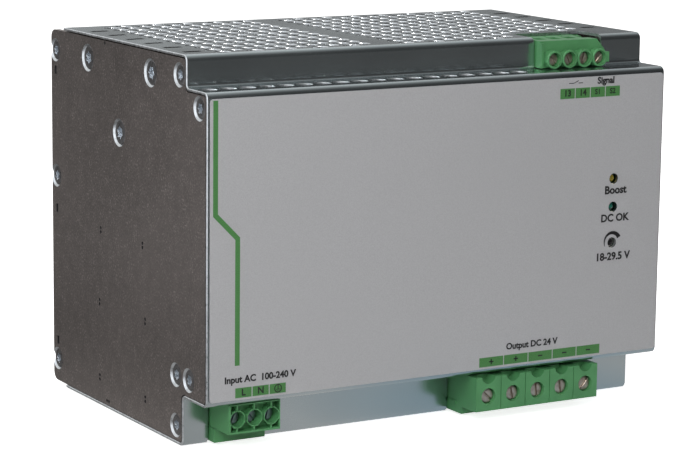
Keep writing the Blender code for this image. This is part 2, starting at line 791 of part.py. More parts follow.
def build_output():
    left, right = output_sides()
    middle = from_right(OUTPUT_FROM_RIGHT)
    xs = pole_places(middle, OUTPUT_POLES, OUTPUT_PITCH)
    front, rear = from_front(0), from_front(OUTPUT_REAR)
    bottom, top = above_base(OUTPUT_BOTTOM), above_base(TERMINAL_TOP)
    block = join(
        box((left, front, bottom), (right, rear, top)),
        box(
            (left, from_front(OUTPUT_FOOT_FRONT), above_base(OUTPUT_FOOT_BOTTOM)),
            (right, rear, bottom + REACH),
        ),
    )
    z = above_base(OUTPUT_SCREW_HEIGHT)
    screw_face = front + OUTPUT_SCREW_DEPTH
    cut(block, *wells(xs, front, z, OUTPUT_WELL_RADIUS, OUTPUT_SCREW_RADIUS, screw_face))
    wire_front = front + OUTPUT_WIRE_FRONT
    wire_rear = wire_front + OUTPUT_WIRE_DEPTH
    half = OUTPUT_WIRE_WIDTH / 2
    wire_top = above_base(OUTPUT_WIRE_TOP)
    pockets = [
        ((x - half, wire_front, bottom - REACH), (x + half, wire_rear, wire_top)) for x in xs
    ]
    notches = [
        rod((x, front - REACH, top), (x, front + OUTPUT_NOTCH_DEPTH, top), OUTPUT_NOTCH_RADIUS)
        for x in xs
    ]
    cut(block, boxes(pockets), *notches)
    settle(block, "output_block", "terminal green", (middle, front, z))
    place_terminal_screws("output", block, OUTPUT_SCREW_RADIUS, xs, screw_face, z)


def build_signal():
    cut_left, cut_right = signal_cut_out()
    left, right = cut_left + CUT_OUT_GAP, cut_right - CUT_OUT_GAP
    middle = from_right(SIGNAL_FROM_RIGHT)
    xs = pole_places(middle, SIGNAL_POLES, SIGNAL_PITCH)
    cup_front, face, rear = (from_front(y) for y in (SIGNAL_CUP_FRONT, SIGNAL_FACE, SIGNAL_REAR))
    bottom, top = from_top(UPPER_STEP_HEIGHT) + GAP, from_top(SIGNAL_TOP)
    z = from_top(SIGNAL_SCREW_BELOW_TOP)
    plug = box((left, face, bottom), (right, rear, top))
    tail_low = Vector((left + HEADER_WALL, rear - REACH, bottom + HEADER_WALL))
    tail_high = Vector((right - HEADER_WALL, rear + TAIL_LENGTH, top - SHEET - GAP - HEADER_WALL))
    cups = [rod((x, cup_front, z), (x, face + REACH, z), SIGNAL_CUP_RADIUS) for x in xs]
    bar = box((xs[0], face - REACH, z - GAP), (xs[-1], face + REACH, z + GAP))
    join(plug, box(tail_low, tail_high), bar, *cups)
    screw_face = cup_front + SIGNAL_SCREW_DEPTH
    cut(plug, *wells(xs, cup_front, z, SIGNAL_WELL_RADIUS, SIGNAL_SCREW_RADIUS, screw_face))
    half = SIGNAL_WIRE_WIDTH / 2
    wire_front = from_front(SIGNAL_WIRE_FRONT)
    wire_rear = wire_front + SIGNAL_WIRE_DEPTH
    wire_low = top - SIGNAL_WIRE_LENGTH
    cut(
        plug,
        boxes([((x - half, wire_front, wire_low), (x + half, wire_rear, top + REACH)) for x in xs]),
    )
    corner = rod((right, face - REACH, top), (right, rear + REACH, top), SIGNAL_CHAMFER, sides=4)
    cut(plug, corner)
    settle(plug, "signal_plug", "terminal green", (middle, face, z))
    place_terminal_screws("signal", plug, SIGNAL_SCREW_RADIUS, xs, screw_face, z)

    header_rear = from_front(SIGNAL_HEADER_REAR)
    header = box(
        (left, rear + GAP, bottom),
        (right, header_rear, from_top(SHEET + GAP)),
    )
    room = Vector((GAP, GAP, GAP))
    cut(header, box(tail_low - room, tail_high + room))
    settle(header, "signal_header", "terminal green", (middle, header_rear, bottom))


# Lamps and trimmer


def build_controls():
    x = from_right(CONTROLS_FROM_RIGHT)
    board_front = from_front(CONTROL_BOARD_FRONT)
    lamps = (
        ("boost_lamp", "amber lens", from_top(BOOST_LAMP_BELOW_TOP)),
        ("output_lamp", "green lens", from_top(OUTPUT_LAMP_BELOW_TOP)),
    )
    for name, finish, z in lamps:
        face = (x, from_front(LAMP_FACE), z)
        lamp = rod(face, (x, board_front - GAP, z), LAMP_RADIUS)
        settle(lamp, name, finish, face, smooth=True)

    z = from_top(TRIMMER_BELOW_TOP)
    rotor_front = from_front(TRIMMER_FACE)
    body_front = from_front(TRIMMER_BODY_FRONT)
    rotor = rod((x, rotor_front, z), (x, body_front - GAP, z), TRIMMER_RADIUS)
    half = TRIMMER_SLOT / 2
    slot = box(
        (x - TRIMMER_RADIUS - REACH, rotor_front - REACH, z - half),
        (x + TRIMMER_RADIUS + REACH, rotor_front + REACH, z + half),
    )
    cut(rotor, slot)
    settle(rotor, "trimmer_rotor", "trimmer plastic", (x, rotor_front, z))
    size = TRIMMER_BODY / 2
    body = box((x - size, body_front, z - size), (x + size, board_front - GAP, z + size))
    settle(body, "trimmer_body", "black plastic", (x, body_front, z))

    near, far = CONTROL_BOARD_FROM_RIGHT
    upper, lower = CONTROL_BOARD_BELOW_TOP
    board = box(
        (from_right(far), board_front, from_top(lower)),
        (from_right(near), board_front + BOARD, from_top(upper)),
    )
    settle(board, "control_board", "circuit board", (x, board_front, z))


# Main board


def on_board():
    """Height at which pieces stand on the main board."""
    return above_base(TERMINAL_TOP) + GAP + BOARD + GAP


def build_capacitors(kind, radius, height, x, distances, sides):
    base = on_board()
    for number, distance in enumerate(distances, 1):
        y = from_front(distance)
        can = rod((x, y, base), (x, y, base + height), radius, sides=sides)
        name = f"{kind}_capacitor_{number}"
        settle(can, name, "capacitor sleeve", (x, y, base), smooth=True)


def build_heat_sink(name, x, fin_side):
    """A plate across the casing with fins on one side, from the board up to the vents."""
    base, top = on_board(), from_top(SINK_TOP_MARGIN)
    front, rear = from_front(SINK_FRONT), from_rear(REAR_RECESS + SINK_REAR_MARGIN)
    sink = box((x - SINK_BASE / 2, front, base), (x + SINK_BASE / 2, rear, top))
    pitch = (rear - front - SINK_FIN) / (SINK_FINS - 1)
    tip = x + fin_side * (SINK_BASE / 2 + SINK_FIN_LENGTH)
    for index in range(SINK_FINS):
        start = front + pitch * index
        fin = box((min(x, tip), start, base), (max(x, tip), start + SINK_FIN, top))
        join(sink, fin)
    settle(sink, name, "aluminium", (x, front, base))


def build_transformer():
    """Winding across a core that closes round it at both ends."""
    width, length, height = TRANSFORMER_SIZE
    x, y = from_right(TRANSFORMER_FROM_RIGHT), from_front(TRANSFORMER_FROM_FRONT)
    base = on_board()
    core = box(
        (x - width / 2, y - length / 2, base),
        (x + width / 2, y + length / 2, base + height),
    )
    inner = width / 2 - TRANSFORMER_CORE / 2
    window = box(
        (x - width / 2 - REACH, y - length / 2 + TRANSFORMER_CORE, base + TRANSFORMER_CORE),
        (
            x + width / 2 + REACH,
            y + length / 2 - TRANSFORMER_CORE,
            base + height - TRANSFORMER_CORE,
        ),
    )
    winding = box(
        (x - inner, y - length / 2 + TRANSFORMER_CORE, base + TRANSFORMER_CORE - REACH),
        (
            x + inner,
            y + length / 2 - TRANSFORMER_CORE,
            base + height - TRANSFORMER_CORE + REACH,
        ),
    )
    shrunk = join(cut(core, window), winding)
    settle(shrunk, "main_transformer", "ferrite", (x, y, base))


def build_choke(name, x, y, radius):
    """A wound ring standing on the board, seen as one thick torus."""
    shape = bmesh.new()
    base = on_board()
    start = shape.verts.new((radius, 0, CHOKE_TUBE))
    ring = [start]
    for index in range(1, 8):
        angle = 2 * math.pi * index / 8
        place = (radius + CHOKE_TUBE * math.sin(angle), 0, CHOKE_TUBE * math.cos(angle))
        ring.append(shape.verts.new(place))
    edges = [shape.edges.new((a, b)) for a, b in zip(ring, ring[1:] + ring[:1])]
    bmesh.ops.spin(
        shape,
        geom=ring + edges,
        cent=(0, 0, 0),
        axis=(0, 0, 1),
        angle=2 * math.pi,
        steps=20,
        use_merge=True,
    )
    choke = solid_of(shape)
    centre = (x, y, base + CHOKE_TUBE)
    choke.data.transform(Matrix.Translation(centre))
    settle(choke, name, "copper wire", centre, smooth=True)


def build_main_board():
    low_x, high_x = from_left(MAIN_BOARD_SIDE_MARGIN), from_right(MAIN_BOARD_SIDE_MARGIN)
    front, rear = from_front(MAIN_BOARD_FRONT), from_rear(MAIN_BOARD_REAR_MARGIN)
    height = above_base(TERMINAL_TOP) + GAP
    board = box((low_x, front, height), (high_x, rear, height + BOARD))
    settle(board, "main_board", "circuit board", (0, front, height))
    build_capacitors(
        "bulk",
        BULK_CAPACITOR_RADIUS,
        BULK_CAPACITOR_HEIGHT,
        from_left(BULK_CAPACITOR_FROM_LEFT),
        BULK_CAPACITORS_FROM_FRONT,
        sides=24,
    )
    build_capacitors(
        "output",
        OUTPUT_CAPACITOR_RADIUS,
        OUTPUT_CAPACITOR_HEIGHT,
        from_right(OUTPUT_CAPACITOR_FROM_RIGHT),
        OUTPUT_CAPACITORS_FROM_FRONT,
        sides=16,
    )
    build_heat_sink("primary_heat_sink", from_left(PRIMARY_SINK_FROM_LEFT), 1)
    build_heat_sink("secondary_heat_sink", from_right(SECONDARY_SINK_FROM_RIGHT), -1)
    build_transformer()
    build_choke(
        "output_choke",
        from_right(TRANSFORMER_FROM_RIGHT),
        from_front(OUTPUT_CHOKE_FROM_FRONT),
        CHOKE_RADIUS,
    )
    line_x = from_left(LINE_CHOKE_FROM_LEFT)
    build_choke("line_choke", line_x, from_front(LINE_CHOKE_FROM_FRONT), LINE_CHOKE_RADIUS)
    fuse_y, fuse_z = from_front(FUSE_FROM_FRONT), on_board() + FUSE_RADIUS
    fuse = rod(
        (line_x, fuse_y - FUSE_LENGTH / 2, fuse_z),
        (line_x, fuse_y + FUSE_LENGTH / 2, fuse_z),
        FUSE_RADIUS,
    )
    settle(fuse, "mains_fuse", "fuse glass", (line_x, fuse_y, fuse_z), smooth=True)
    x, y = from_right(RELAY_FROM_RIGHT), from_front(RELAY_FROM_FRONT)
    width, length, tall = RELAY_SIZE
    relay = box(
        (x - width / 2, y - length / 2, on_board()),
        (x + width / 2, y + length / 2, on_board() + tall),
    )
    settle(relay, "signal_relay", "black plastic", (x, y, on_board()))


# Rail bracket


def bracket_web():
    """Front and rear Y of the bracket's plate, which lies on the rear plate."""
    front = from_rear(REAR_RECESS)
    return front, front + BRACKET_WALL


def latch_faces():
    """Front and rear Y of the latch's plate, which slides behind the bracket's web."""
    front = bracket_web()[1] + 3 * GAP
    return front, front + LATCH_THICKNESS


def build_bracket():
    """A box section with a hook over the rail's upper edge, and guides for the latch below."""
    half = BRACKET_WIDTH / 2
    web_front, web_rear = bracket_web()
    hook_top = RAIL_HALF + RAIL_CLEARANCE + HOOK_ROOT
    hook_inside = RAIL_THICKNESS + RAIL_CLEARANCE
    hook_rear = hook_inside + HOOK_THICKNESS
    seat_bottom = -RAIL_HALF - RAIL_CLEARANCE
    bracket = box((-half, web_front, BRACKET_BOTTOM), (half, web_rear, BRACKET_TOP))
    ribs_and_hook = [
        box((-half, web_rear - GAP, hook_top - SEAT_RIB), (half, -GAP, hook_top)),
        box((-half, -BRACKET_WALL, RAIL_HALF + RAIL_CLEARANCE), (half, hook_rear, hook_top)),
        box((-half, hook_inside, RAIL_HALF - HOOK_OVERLAP), (half, hook_rear, hook_top - GAP)),
        box((-half, -BRACKET_WALL, seat_bottom), (half, 0, hook_top - GAP)),
        box((-half, web_rear - GAP, seat_bottom), (half, -GAP, seat_bottom + SEAT_RIB)),
    ]
    latch_front, latch_rear = latch_faces()
    guide_inner = LATCH_WIDTH / 2 + GAP
    guide_top = seat_bottom + GAP
    lip_top = seat_bottom - HOOK_ROOT - LATCH_TRAVEL - 2 * GAP
    guides = []
    for side in (-1, 1):
        inner, outer = side * guide_inner, side * (guide_inner + GUIDE_WALL)
        lip = side * (guide_inner - GUIDE_LIP)
        lip_rear = latch_rear + GAP + BRACKET_WALL / 2
        guides.append(
            box(
                (min(inner, outer), web_rear - GAP, BRACKET_BOTTOM),
                (max(inner, outer), lip_rear, guide_top),
            )
        )
        guides.append(
            box(
                (min(lip, outer), latch_rear + GAP, BRACKET_BOTTOM + GAP),
                (max(lip, outer) - GAP, lip_rear - GAP / 2, lip_top),
            )
        )
    peg = box(
        (-PEG_WIDTH / 2, web_rear - GAP, PEG_TOP - PEG_HEIGHT),
        (PEG_WIDTH / 2, latch_rear, PEG_TOP),
    )
    join(bracket, *ribs_and_hook, *guides, peg)
    seat_end = RAIL_HALF - HOOK_OVERLAP - SEAT_RELIEF_MARGIN
    reliefs = [
        box((-half - REACH, -SEAT_RELIEF, low), (half + REACH, hook_inside / 2, high))
        for low, high in (
            (seat_end, RAIL_HALF + RAIL_CLEARANCE),
            (seat_bottom - REACH, -seat_end),
        )
    ]
    cut(bracket, *reliefs)
    holes = [
        rod((x, web_front - REACH, z), (x, web_rear + REACH, z), SCREW_SHANK + GAP)
        for x, z in bracket_screw_places()
    ]
    cut(bracket, *holes)
    settle(bracket, "rail_bracket", "aluminium", (0, 0, 0))


def build_latch():
    """A plate whose nose holds the rail's lower edge, with a window for the spring and a tab."""
    half = LATCH_WIDTH / 2
    front, rear = latch_faces()
    nose_top = -RAIL_HALF - RAIL_CLEARANCE - 2 * GAP
    nose_bottom = nose_top - HOOK_ROOT
    hook_inside = RAIL_THICKNESS + RAIL_CLEARANCE
    latch = box((-half, front, LATCH_BOTTOM), (half, rear, nose_top))
    join(
        latch,
        box((-half, rear - GAP, nose_bottom), (half, hook_inside + HOOK_THICKNESS, nose_top)),
        box(
            (-half, hook_inside, nose_bottom + GAP),
            (half, hook_inside + HOOK_THICKNESS, -RAIL_HALF + HOOK_OVERLAP),
        ),
    )
    window = box(
        (-WINDOW_WIDTH / 2, front - REACH, WINDOW_BOTTOM),
        (WINDOW_WIDTH / 2, rear + REACH, WINDOW_TOP),
    )
    slot_width, slot_height = LATCH_SLOT
    slot_bottom = LATCH_BOTTOM + 1.8 * MM
    slot = box(
        (-slot_width / 2, front - REACH, slot_bottom),
        (slot_width / 2, rear + REACH, slot_bottom + slot_height),
    )
    cut(latch, window, slot)
    settle(latch, "rail_latch", "plated screw", (0, rear, nose_top))


def build_spring():
    """A coil of round wire from the bracket's peg up to the top of the latch's window."""
    front, rear = latch_faces()
    y = (front + rear) / 2
    low = PEG_TOP + GAP + SPRING_WIRE
    high = WINDOW_TOP - GAP - SPRING_WIRE
    count = SPRING_TURNS * SPRING_POINTS_PER_TURN
    curve = bpy.data.curves.new("latch_spring", "CURVE")
    curve.dimensions = "3D"
    curve.bevel_depth = SPRING_WIRE
    curve.bevel_resolution = 1
    curve.use_fill_caps = True
    line = curve.splines.new("POLY")
    line.points.add(count)
    for index, point in enumerate(line.points):
        angle = 2 * math.pi * index / SPRING_POINTS_PER_TURN
        height = low + (high - low) * index / count
        place = (SPRING_RADIUS * math.cos(angle), y + SPRING_RADIUS * math.sin(angle), height)
        point.co = (*place, 1)
    guide = bpy.data.objects.new("latch_spring_line", curve)
    bpy.context.scene.collection.objects.link(guide)
    bpy.context.view_layer.update()
    evaluated = guide.evaluated_get(bpy.context.evaluated_depsgraph_get())
    mesh = bpy.data.meshes.new_from_object(evaluated)
    bpy.data.objects.remove(guide)
    shape = bmesh.new()
    shape.from_mesh(mesh)
    bmesh.ops.remove_doubles(shape, verts=shape.verts, dist=0.001 * MM)
    spring = solid_of(shape)
    settle(spring, "latch_spring", "bare steel", (0, y, PEG_TOP), smooth=True)


def build_bracket_screws():
    """Pan-headed screws through the bracket's web into the rear plate."""
    web_rear = bracket_web()[1]
    face = web_rear + GAP + HEAD_DEPTH
    length = face - from_rear(REAR_RECESS) + SHEET + 4 * GAP
    screw = rod((0, 0, 0), (0, 0, -HEAD_DEPTH), BRACKET_SCREW_HEAD)
    join(screw, rod((0, 0, -HEAD_DEPTH / 2), (0, 0, -length), SCREW_SHANK))
    cut(screw, rod((0, 0, REACH), (0, 0, -DRIVE_DEPTH), DRIVE_RADIUS, sides=6))
    shape = shape_for_copies(screw)
    for number, (x, z) in enumerate(bracket_screw_places(), 1):
        copy_of(shape, f"bracket_screw_{number}", "plated screw", (x, face, z), TO_REAR)


def clear_scene():
    for item in list(bpy.data.objects):
        bpy.data.objects.remove(item)


def main():
    clear_scene()
    build_cover()
    build_label()
    build_sides()
    build_rear_plate()
    build_input()
    build_output()
    build_signal()
    build_controls()
    build_main_board()
    build_bracket()
    build_latch()
    build_spring()
    build_bracket_screws()


main()
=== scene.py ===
"""Looks of a DIN rail power supply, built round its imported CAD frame.

Pieces are modelled in casing millimetres: x from the casing's left side, y from its front and
z above its base. They are put into the frame's metres when they are finished.
"""

from __future__ import annotations

import logging
import math
from dataclasses import dataclass, field
from enum import Enum
from typing import Callable, Iterable, Sequence

import bmesh
import bpy
from mathutils import Matrix, Vector

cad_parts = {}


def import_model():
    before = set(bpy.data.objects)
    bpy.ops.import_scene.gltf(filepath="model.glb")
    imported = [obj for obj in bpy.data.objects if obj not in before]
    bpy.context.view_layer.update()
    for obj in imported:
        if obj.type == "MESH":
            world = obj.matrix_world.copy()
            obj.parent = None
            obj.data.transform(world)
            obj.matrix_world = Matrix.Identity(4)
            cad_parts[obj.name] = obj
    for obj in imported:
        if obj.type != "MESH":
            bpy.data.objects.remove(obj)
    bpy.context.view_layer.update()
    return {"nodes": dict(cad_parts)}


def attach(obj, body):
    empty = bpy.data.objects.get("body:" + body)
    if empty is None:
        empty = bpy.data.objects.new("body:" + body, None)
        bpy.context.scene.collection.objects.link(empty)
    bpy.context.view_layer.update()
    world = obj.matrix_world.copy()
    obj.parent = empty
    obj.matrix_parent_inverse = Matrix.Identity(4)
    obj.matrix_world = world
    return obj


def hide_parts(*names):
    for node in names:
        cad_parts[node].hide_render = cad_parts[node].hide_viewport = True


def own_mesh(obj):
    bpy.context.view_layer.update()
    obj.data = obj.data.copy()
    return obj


LOG = logging.getLogger("power_supply")

TO_FRAME = Matrix.Translation((-0.09, -0.125, -0.062)) @ Matrix.Scale(0.001, 4)
WIDTH = 180.0
HEIGHT = 130.0
REAR_EDGE = 111.5  # of the cover's sheet
SHEET = 1.0
GAP = 0.3
REACH = 1.0  # how far a cutter runs past the face it opens
HOLE_RADIUS = 2.75  # of the vents, inside their rolled rims
SMOOTH_ANGLE = math.radians(32)

Point = Sequence[float]
Colour = tuple[float, float, float]
Socket = bpy.types.NodeSocket

CONTROL_X = 159.1  # of both lamps and the trimmer
LAMP_HEIGHTS = (81.1, 71.1)
TRIMMER_HEIGHT = 58.4
CONTROL_HOLE = 1.85  # radius of their holes in the front
CONTROL_CENTRES = tuple((CONTROL_X, 0.0, z) for z in (*LAMP_HEIGHTS, TRIMMER_HEIGHT))


class Axis(Enum):
    """A direction that outlines are drawn out along and profiles turn round."""

    X = 0
    Y = 1
    Z = 2

    @property
    def others(self) -> tuple[int, int]:
        """The two remaining directions, in order."""
        first, second = (index for index in range(3) if index != self.value)
        return first, second


class Operation(Enum):
    """What a Boolean does with its tool."""

    CUT = "DIFFERENCE"
    JOIN = "UNION"


class Slot(Enum):
    """Material slots of the record."""

    SIDE_STEEL = "side_steel"
    COVER_SHEET = "cover_sheet"
    LABEL_FILM = "label_film"
    TERMINAL_GREEN = "terminal_green"
    PLATED_STEEL = "plated_steel"
    TERMINAL_SCREW = "terminal_screw"
    SPRING_STEEL = "spring_steel"
    ALUMINIUM = "aluminium"
    BLACK_PLASTIC = "black_plastic"
    CIRCUIT_BOARD = "circuit_board"
    FERRITE = "ferrite"
    COPPER_WIRE = "copper_wire"
    CAPACITOR_SLEEVE = "capacitor_sleeve"
    AMBER_LENS = "amber_lens"
    GREEN_LENS = "green_lens"
    TRIMMER_PLASTIC = "trimmer_plastic"
    FUSE_BODY = "fuse_body"


def linear(red: int, green: int, blue: int) -> Colour:
    """Linear colour of an 8-bit display colour.

    Args:
        red: Red from 0 to 255.
        green: Green from 0 to 255.
        blue: Blue from 0 to 255.

    Returns:
        The three linear values.
    """

    def one(value: int) -> float:
        """One channel."""
        share = value / 255
        return share / 12.92 if share <= 0.04045 else ((share + 0.055) / 1.055) ** 2.4

    return one(red), one(green), one(blue)


class Nodes:
    """A node tree, with short ways to add the nodes that finishes need."""

    def __init__(self, tree: bpy.types.NodeTree) -> None:
        """Keeps the tree's nodes and links."""
        self.nodes = tree.nodes
        self.links = tree.links

    def ramp(self, value: Socket, stops: Sequence[tuple[float, Colour]]) -> Socket:
        """Reads a colour off between stops.

        Args:
            value: Where to read, from 0 to 1.
            stops: Places and their colours.

        Returns:
            The colour.
        """
        node = self.nodes.new("ShaderNodeValToRGB")
        elements = node.color_ramp.elements
        while len(elements) < len(stops):
            elements.new(0.5)
        for element, (position, colour) in zip(elements, stops):
            element.position = position
            element.color = (*colour, 1)
        self.links.new(value, node.inputs["Fac"])
        return node.outputs["Color"]

    def span(
        self, value: Socket, low: float, high: float, start: float = 0.3, end: float = 0.7
    ) -> Socket:
        """Brings a value from one range to another, without going past its ends.

        Args:
            value: The value.
            low: Result at the start.
            high: Result at the end.
            start: Where the value starts.
            end: Where it ends.

        Returns:
            The result.
        """
        node = self.nodes.new("ShaderNodeMapRange")
        node.inputs["From Min"].default_value = start
        node.inputs["From Max"].default_value = end
        node.inputs["To Min"].default_value = low
        node.inputs["To Max"].default_value = high
        self.links.new(value, node.inputs["Value"])
        return node.outputs["Result"]

    def blend(
        self, share: Socket | float, first: Socket | Colour, second: Socket | Colour
    ) -> Socket:
        """Mixes two colours.

        Args:
            share: How much of the second one there is.
            first: Colour at a share of 0.
            second: Colour at a share of 1.

        Returns:
            The mixed colour.
        """
        node = self.nodes.new("ShaderNodeMix")
        node.data_type = "RGBA"
        for index, item in ((0, share), (6, first), (7, second)):
            if isinstance(item, Socket):
                self.links.new(item, node.inputs[index])
            elif index:
                node.inputs[index].default_value = (*item, 1)
            else:
                node.inputs[index].default_value = item
        return node.outputs[2]

    def total(self, first: Socket, second: Socket, operation: str = "ADD") -> Socket:
        """Puts two values together.

        Args:
            first: One value.
            second: The other.
            operation: What the Math node does with them.

        Returns:
            The result.
        """
        node = self.nodes.new("ShaderNodeMath")
        node.operation = operation
        self.links.new(first, node.inputs[0])
        self.links.new(second, node.inputs[1])
        return node.outputs["Value"]


class Network(Nodes):
    """Shader nodes of one material, round its Principled shader."""

    def __init__(self, name: str) -> None:
        """Makes the material.

        Args:
            name: Its name.
        """
        self.material = bpy.data.materials.new(name)
        self.material.use_nodes = True
        super().__init__(self.material.node_tree)
        self.shader = self.nodes["Principled BSDF"]
        self.place = self.nodes.new("ShaderNodeTexCoord").outputs["Object"]

    def noise(
        self,
        size: float,
        detail: float = 3,
        stretch: Point = (1, 1, 1),
        roughness: float = 0.55,
    ) -> Socket:
        """Cloudy noise on the object's own coordinates.

        Args:
            size: About how large its features are, in millimetres.
            detail: How many finer layers it has.
            stretch: Scale along each direction.
            roughness: How strong the finer layers are.

        Returns:
            The noise.
        """
        mapping = self.nodes.new("ShaderNodeMapping")
        mapping.inputs["Scale"].default_value = stretch
        self.links.new(self.place, mapping.inputs["Vector"])
        node = self.nodes.new("ShaderNodeTexNoise")
        node.inputs["Scale"].default_value = 1000 / size
        node.inputs["Detail"].default_value = detail
        node.inputs["Roughness"].default_value = roughness
        self.links.new(mapping.outputs["Vector"], node.inputs["Vector"])
        return node.outputs["Fac"]

    def colour(self, value: Socket) -> None:
        """Gives the shader its colour."""
        self.links.new(value, self.shader.inputs["Base Color"])

    def rough(self, value: Socket) -> None:
        """Gives the shader its roughness."""
        self.links.new(value, self.shader.inputs["Roughness"])

    def relief(self, height: Socket, depth: float) -> None:
        """Bumps the surface.

        Args:
            height: The bumps, from 0 to 1.
            depth: How high 1 is, in millimetres.
        """
        node = self.nodes.new("ShaderNodeBump")
        node.inputs["Distance"].default_value = depth / 1000
        self.links.new(height, node.inputs["Height"])
        self.links.new(node.outputs["Normal"], self.shader.inputs["Normal"])

    def constant(self, values: dict[str, float]) -> None:
        """Sets plain values, such as Metallic or Coat Weight, on the shader."""
        for name, value in values.items():
            self.shader.inputs[name].default_value = value


@dataclass(frozen=True)
class Finish:
    """A surface: a name, a record slot, and a way to draw it."""

    name: str
    slot: Slot
    colour: Colour

    def draw(self, net: Network) -> None:
        """Adds this finish's nodes."""
        raise NotImplementedError

    def material(self) -> bpy.types.Material:
        """Makes the finish's material the first time.

        Returns:
            The material.
        """
        found = bpy.data.materials.get(self.name)
        if found:
            return found
        net = Network(self.name)
        self.draw(net)
        return net.material

    def shade(self, factor: float) -> Colour:
        """The colour made lighter or darker."""
        red, green, blue = self.colour
        return red * factor, green * factor, blue * factor


@dataclass(frozen=True)
class ZincSheet(Finish):
    """Dull zinc-coated steel: dark with irregular bright grains and faint clouds."""

    roughness: float = 0.4

    def draw(self, net: Network) -> None:
        """Draws bright grains, faint clouds and an uneven shine.

        Args:
            net: The material's nodes.
        """
        grain = net.noise(0.75, 4, roughness=0.75)
        patch = net.noise(5, 3, roughness=0.7)
        cloud = net.noise(34, 3)
        speck = net.total(grain, net.span(patch, -0.05, 0.05))
        specked = net.ramp(
            speck,
            [
                (0.36, self.shade(0.72)),
                (0.5, self.colour),
                (0.6, self.shade(1.35)),
                (0.66, self.shade(2.6)),
            ],
        )
        net.colour(net.blend(net.span(cloud, 0.0, 0.45), specked, self.shade(0.8)))
        net.rough(
            net.span(
                net.total(cloud, grain), self.roughness - 0.08, self.roughness + 0.12, 0.7, 1.3
            )
        )
        net.relief(grain, 0.014)
        net.constant({"Metallic": 1.0})


@dataclass(frozen=True)
class SatinSheet(Finish):
    """Smooth coated sheet that mirrors its surroundings softly."""

    roughness: float = 0.3
    metallic: float = 1.0

    def draw(self, net: Network) -> None:
        """Draws faint clouds and a soft mirror.

        Args:
            net: The material's nodes.
        """
        cloud = net.noise(40, 2)
        grain = net.noise(0.4, 2)
        net.colour(net.blend(net.span(cloud, 0, 1), self.shade(0.95), self.shade(1.05)))
        net.rough(
            net.span(
                net.total(cloud, grain), self.roughness - 0.03, self.roughness + 0.05, 0.7, 1.3
            )
        )
        net.relief(grain, 0.0015)
        net.constant({"Metallic": self.metallic})


@dataclass(frozen=True)
class BrightMetal(Finish):
    """Plated or cut metal with turning marks and small scratches."""

    roughness: float = 0.25
    warmth: Colour = (1.0, 1.0, 1.0)

    def draw(self, net: Network) -> None:
        """Draws stains, scratches and turning marks.

        Args:
            net: The material's nodes.
        """
        cloud = net.noise(1.6, 3)
        scratch = net.noise(0.25, 2, stretch=(1, 1, 0.08))
        stained = tuple(a * b for a, b in zip(self.shade(0.72), self.warmth))
        net.colour(net.ramp(cloud, [(0.32, stained), (0.6, self.colour)]))
        net.rough(
            net.span(
                net.total(cloud, scratch), self.roughness - 0.08, self.roughness + 0.16, 0.7, 1.3
            )
        )
        net.relief(scratch, 0.01)
        net.constant({"Metallic": 1.0})


@dataclass(frozen=True)
class Moulding(Finish):
    """Moulded plastic: fine eroded texture, slight colour drift and a satin shine."""

    roughness: float = 0.42
    texture: float = 0.012

    def draw(self, net: Network) -> None:
        """Draws slight drifts of colour and an eroded texture.

        Args:
            net: The material's nodes.
        """
        drift = net.noise(9, 3)
        grain = net.noise(0.18, 3)
        net.colour(net.blend(net.span(drift, 0, 1), self.shade(0.9), self.shade(1.08)))
        net.rough(
            net.span(
                net.total(drift, grain), self.roughness - 0.06, self.roughness + 0.1, 0.7, 1.3
            )
        )
        net.relief(grain, self.texture)
        net.constant({"Specular IOR Level": 0.45})


@dataclass(frozen=True)
class GrainedFilm(Finish):
    """Matt polyester film with a fine metallic grain."""

    roughness: float = 0.46
    metallic: float = 0.3

    def draw(self, net: Network) -> None:
        """Draws the film's grain.

        Args:
            net: The material's nodes.
        """
        grain = net.noise(0.32, 2, roughness=0.8)
        cloud = net.noise(45, 2)
        toned = net.ramp(grain, [(0.3, self.shade(0.88)), (0.72, self.shade(1.1))])
        net.colour(net.blend(net.span(cloud, 0, 0.35), toned, self.shade(0.95)))
        net.rough(net.span(grain, self.roughness - 0.08, self.roughness + 0.1))
        net.relief(grain, 0.006)
        net.constant({"Metallic": self.metallic})


@dataclass(frozen=True)
class Ink(Finish):
    """Screen-printed ink with slight thin spots."""

    def draw(self, net: Network) -> None:
        """Draws thin spots.

        Args:
            net: The material's nodes.
        """
        thin = net.noise(0.35, 3)
        net.colour(net.ramp(thin, [(0.25, self.shade(1.35)), (0.55, self.colour)]))
        net.rough(net.span(thin, 0.4, 0.58))
        net.relief(thin, 0.004)


@dataclass(frozen=True)
class Lens(Finish):
    """Tinted diffusing lamp lens."""

    def draw(self, net: Network) -> None:
        """Draws a tinted lens.

        Args:
            net: The material's nodes.
        """
        cloud = net.noise(0.8, 2)
        net.colour(net.blend(net.span(cloud, 0, 1), self.shade(0.8), self.shade(1.15)))
        net.rough(net.span(cloud, 0.12, 0.24))
        net.relief(cloud, 0.004)
        net.constant({"Transmission Weight": 0.35, "IOR": 1.5, "Coat Weight": 0.4})


@dataclass(frozen=True)
class Winding(Finish):
    """Enamelled wire wound in close turns."""

    def draw(self, net: Network) -> None:
        """Draws turns of wire, with painted shade in the grooves between them.

        Args:
            net: The material's nodes.
        """
        turns = net.nodes.new("ShaderNodeTexWave")
        turns.inputs["Scale"].default_value = 260
        turns.inputs["Distortion"].default_value = 1.5
        net.links.new(net.place, turns.inputs["Vector"])
        # The dark grooves between turns are painted shade.
        net.colour(net.ramp(turns.outputs["Fac"], [(0.1, self.shade(0.3)), (0.6, self.colour)]))
        net.rough(net.span(net.noise(2, 2), 0.25, 0.4))
        net.relief(turns.outputs["Fac"], 0.15)
        net.constant({"Metallic": 0.7})


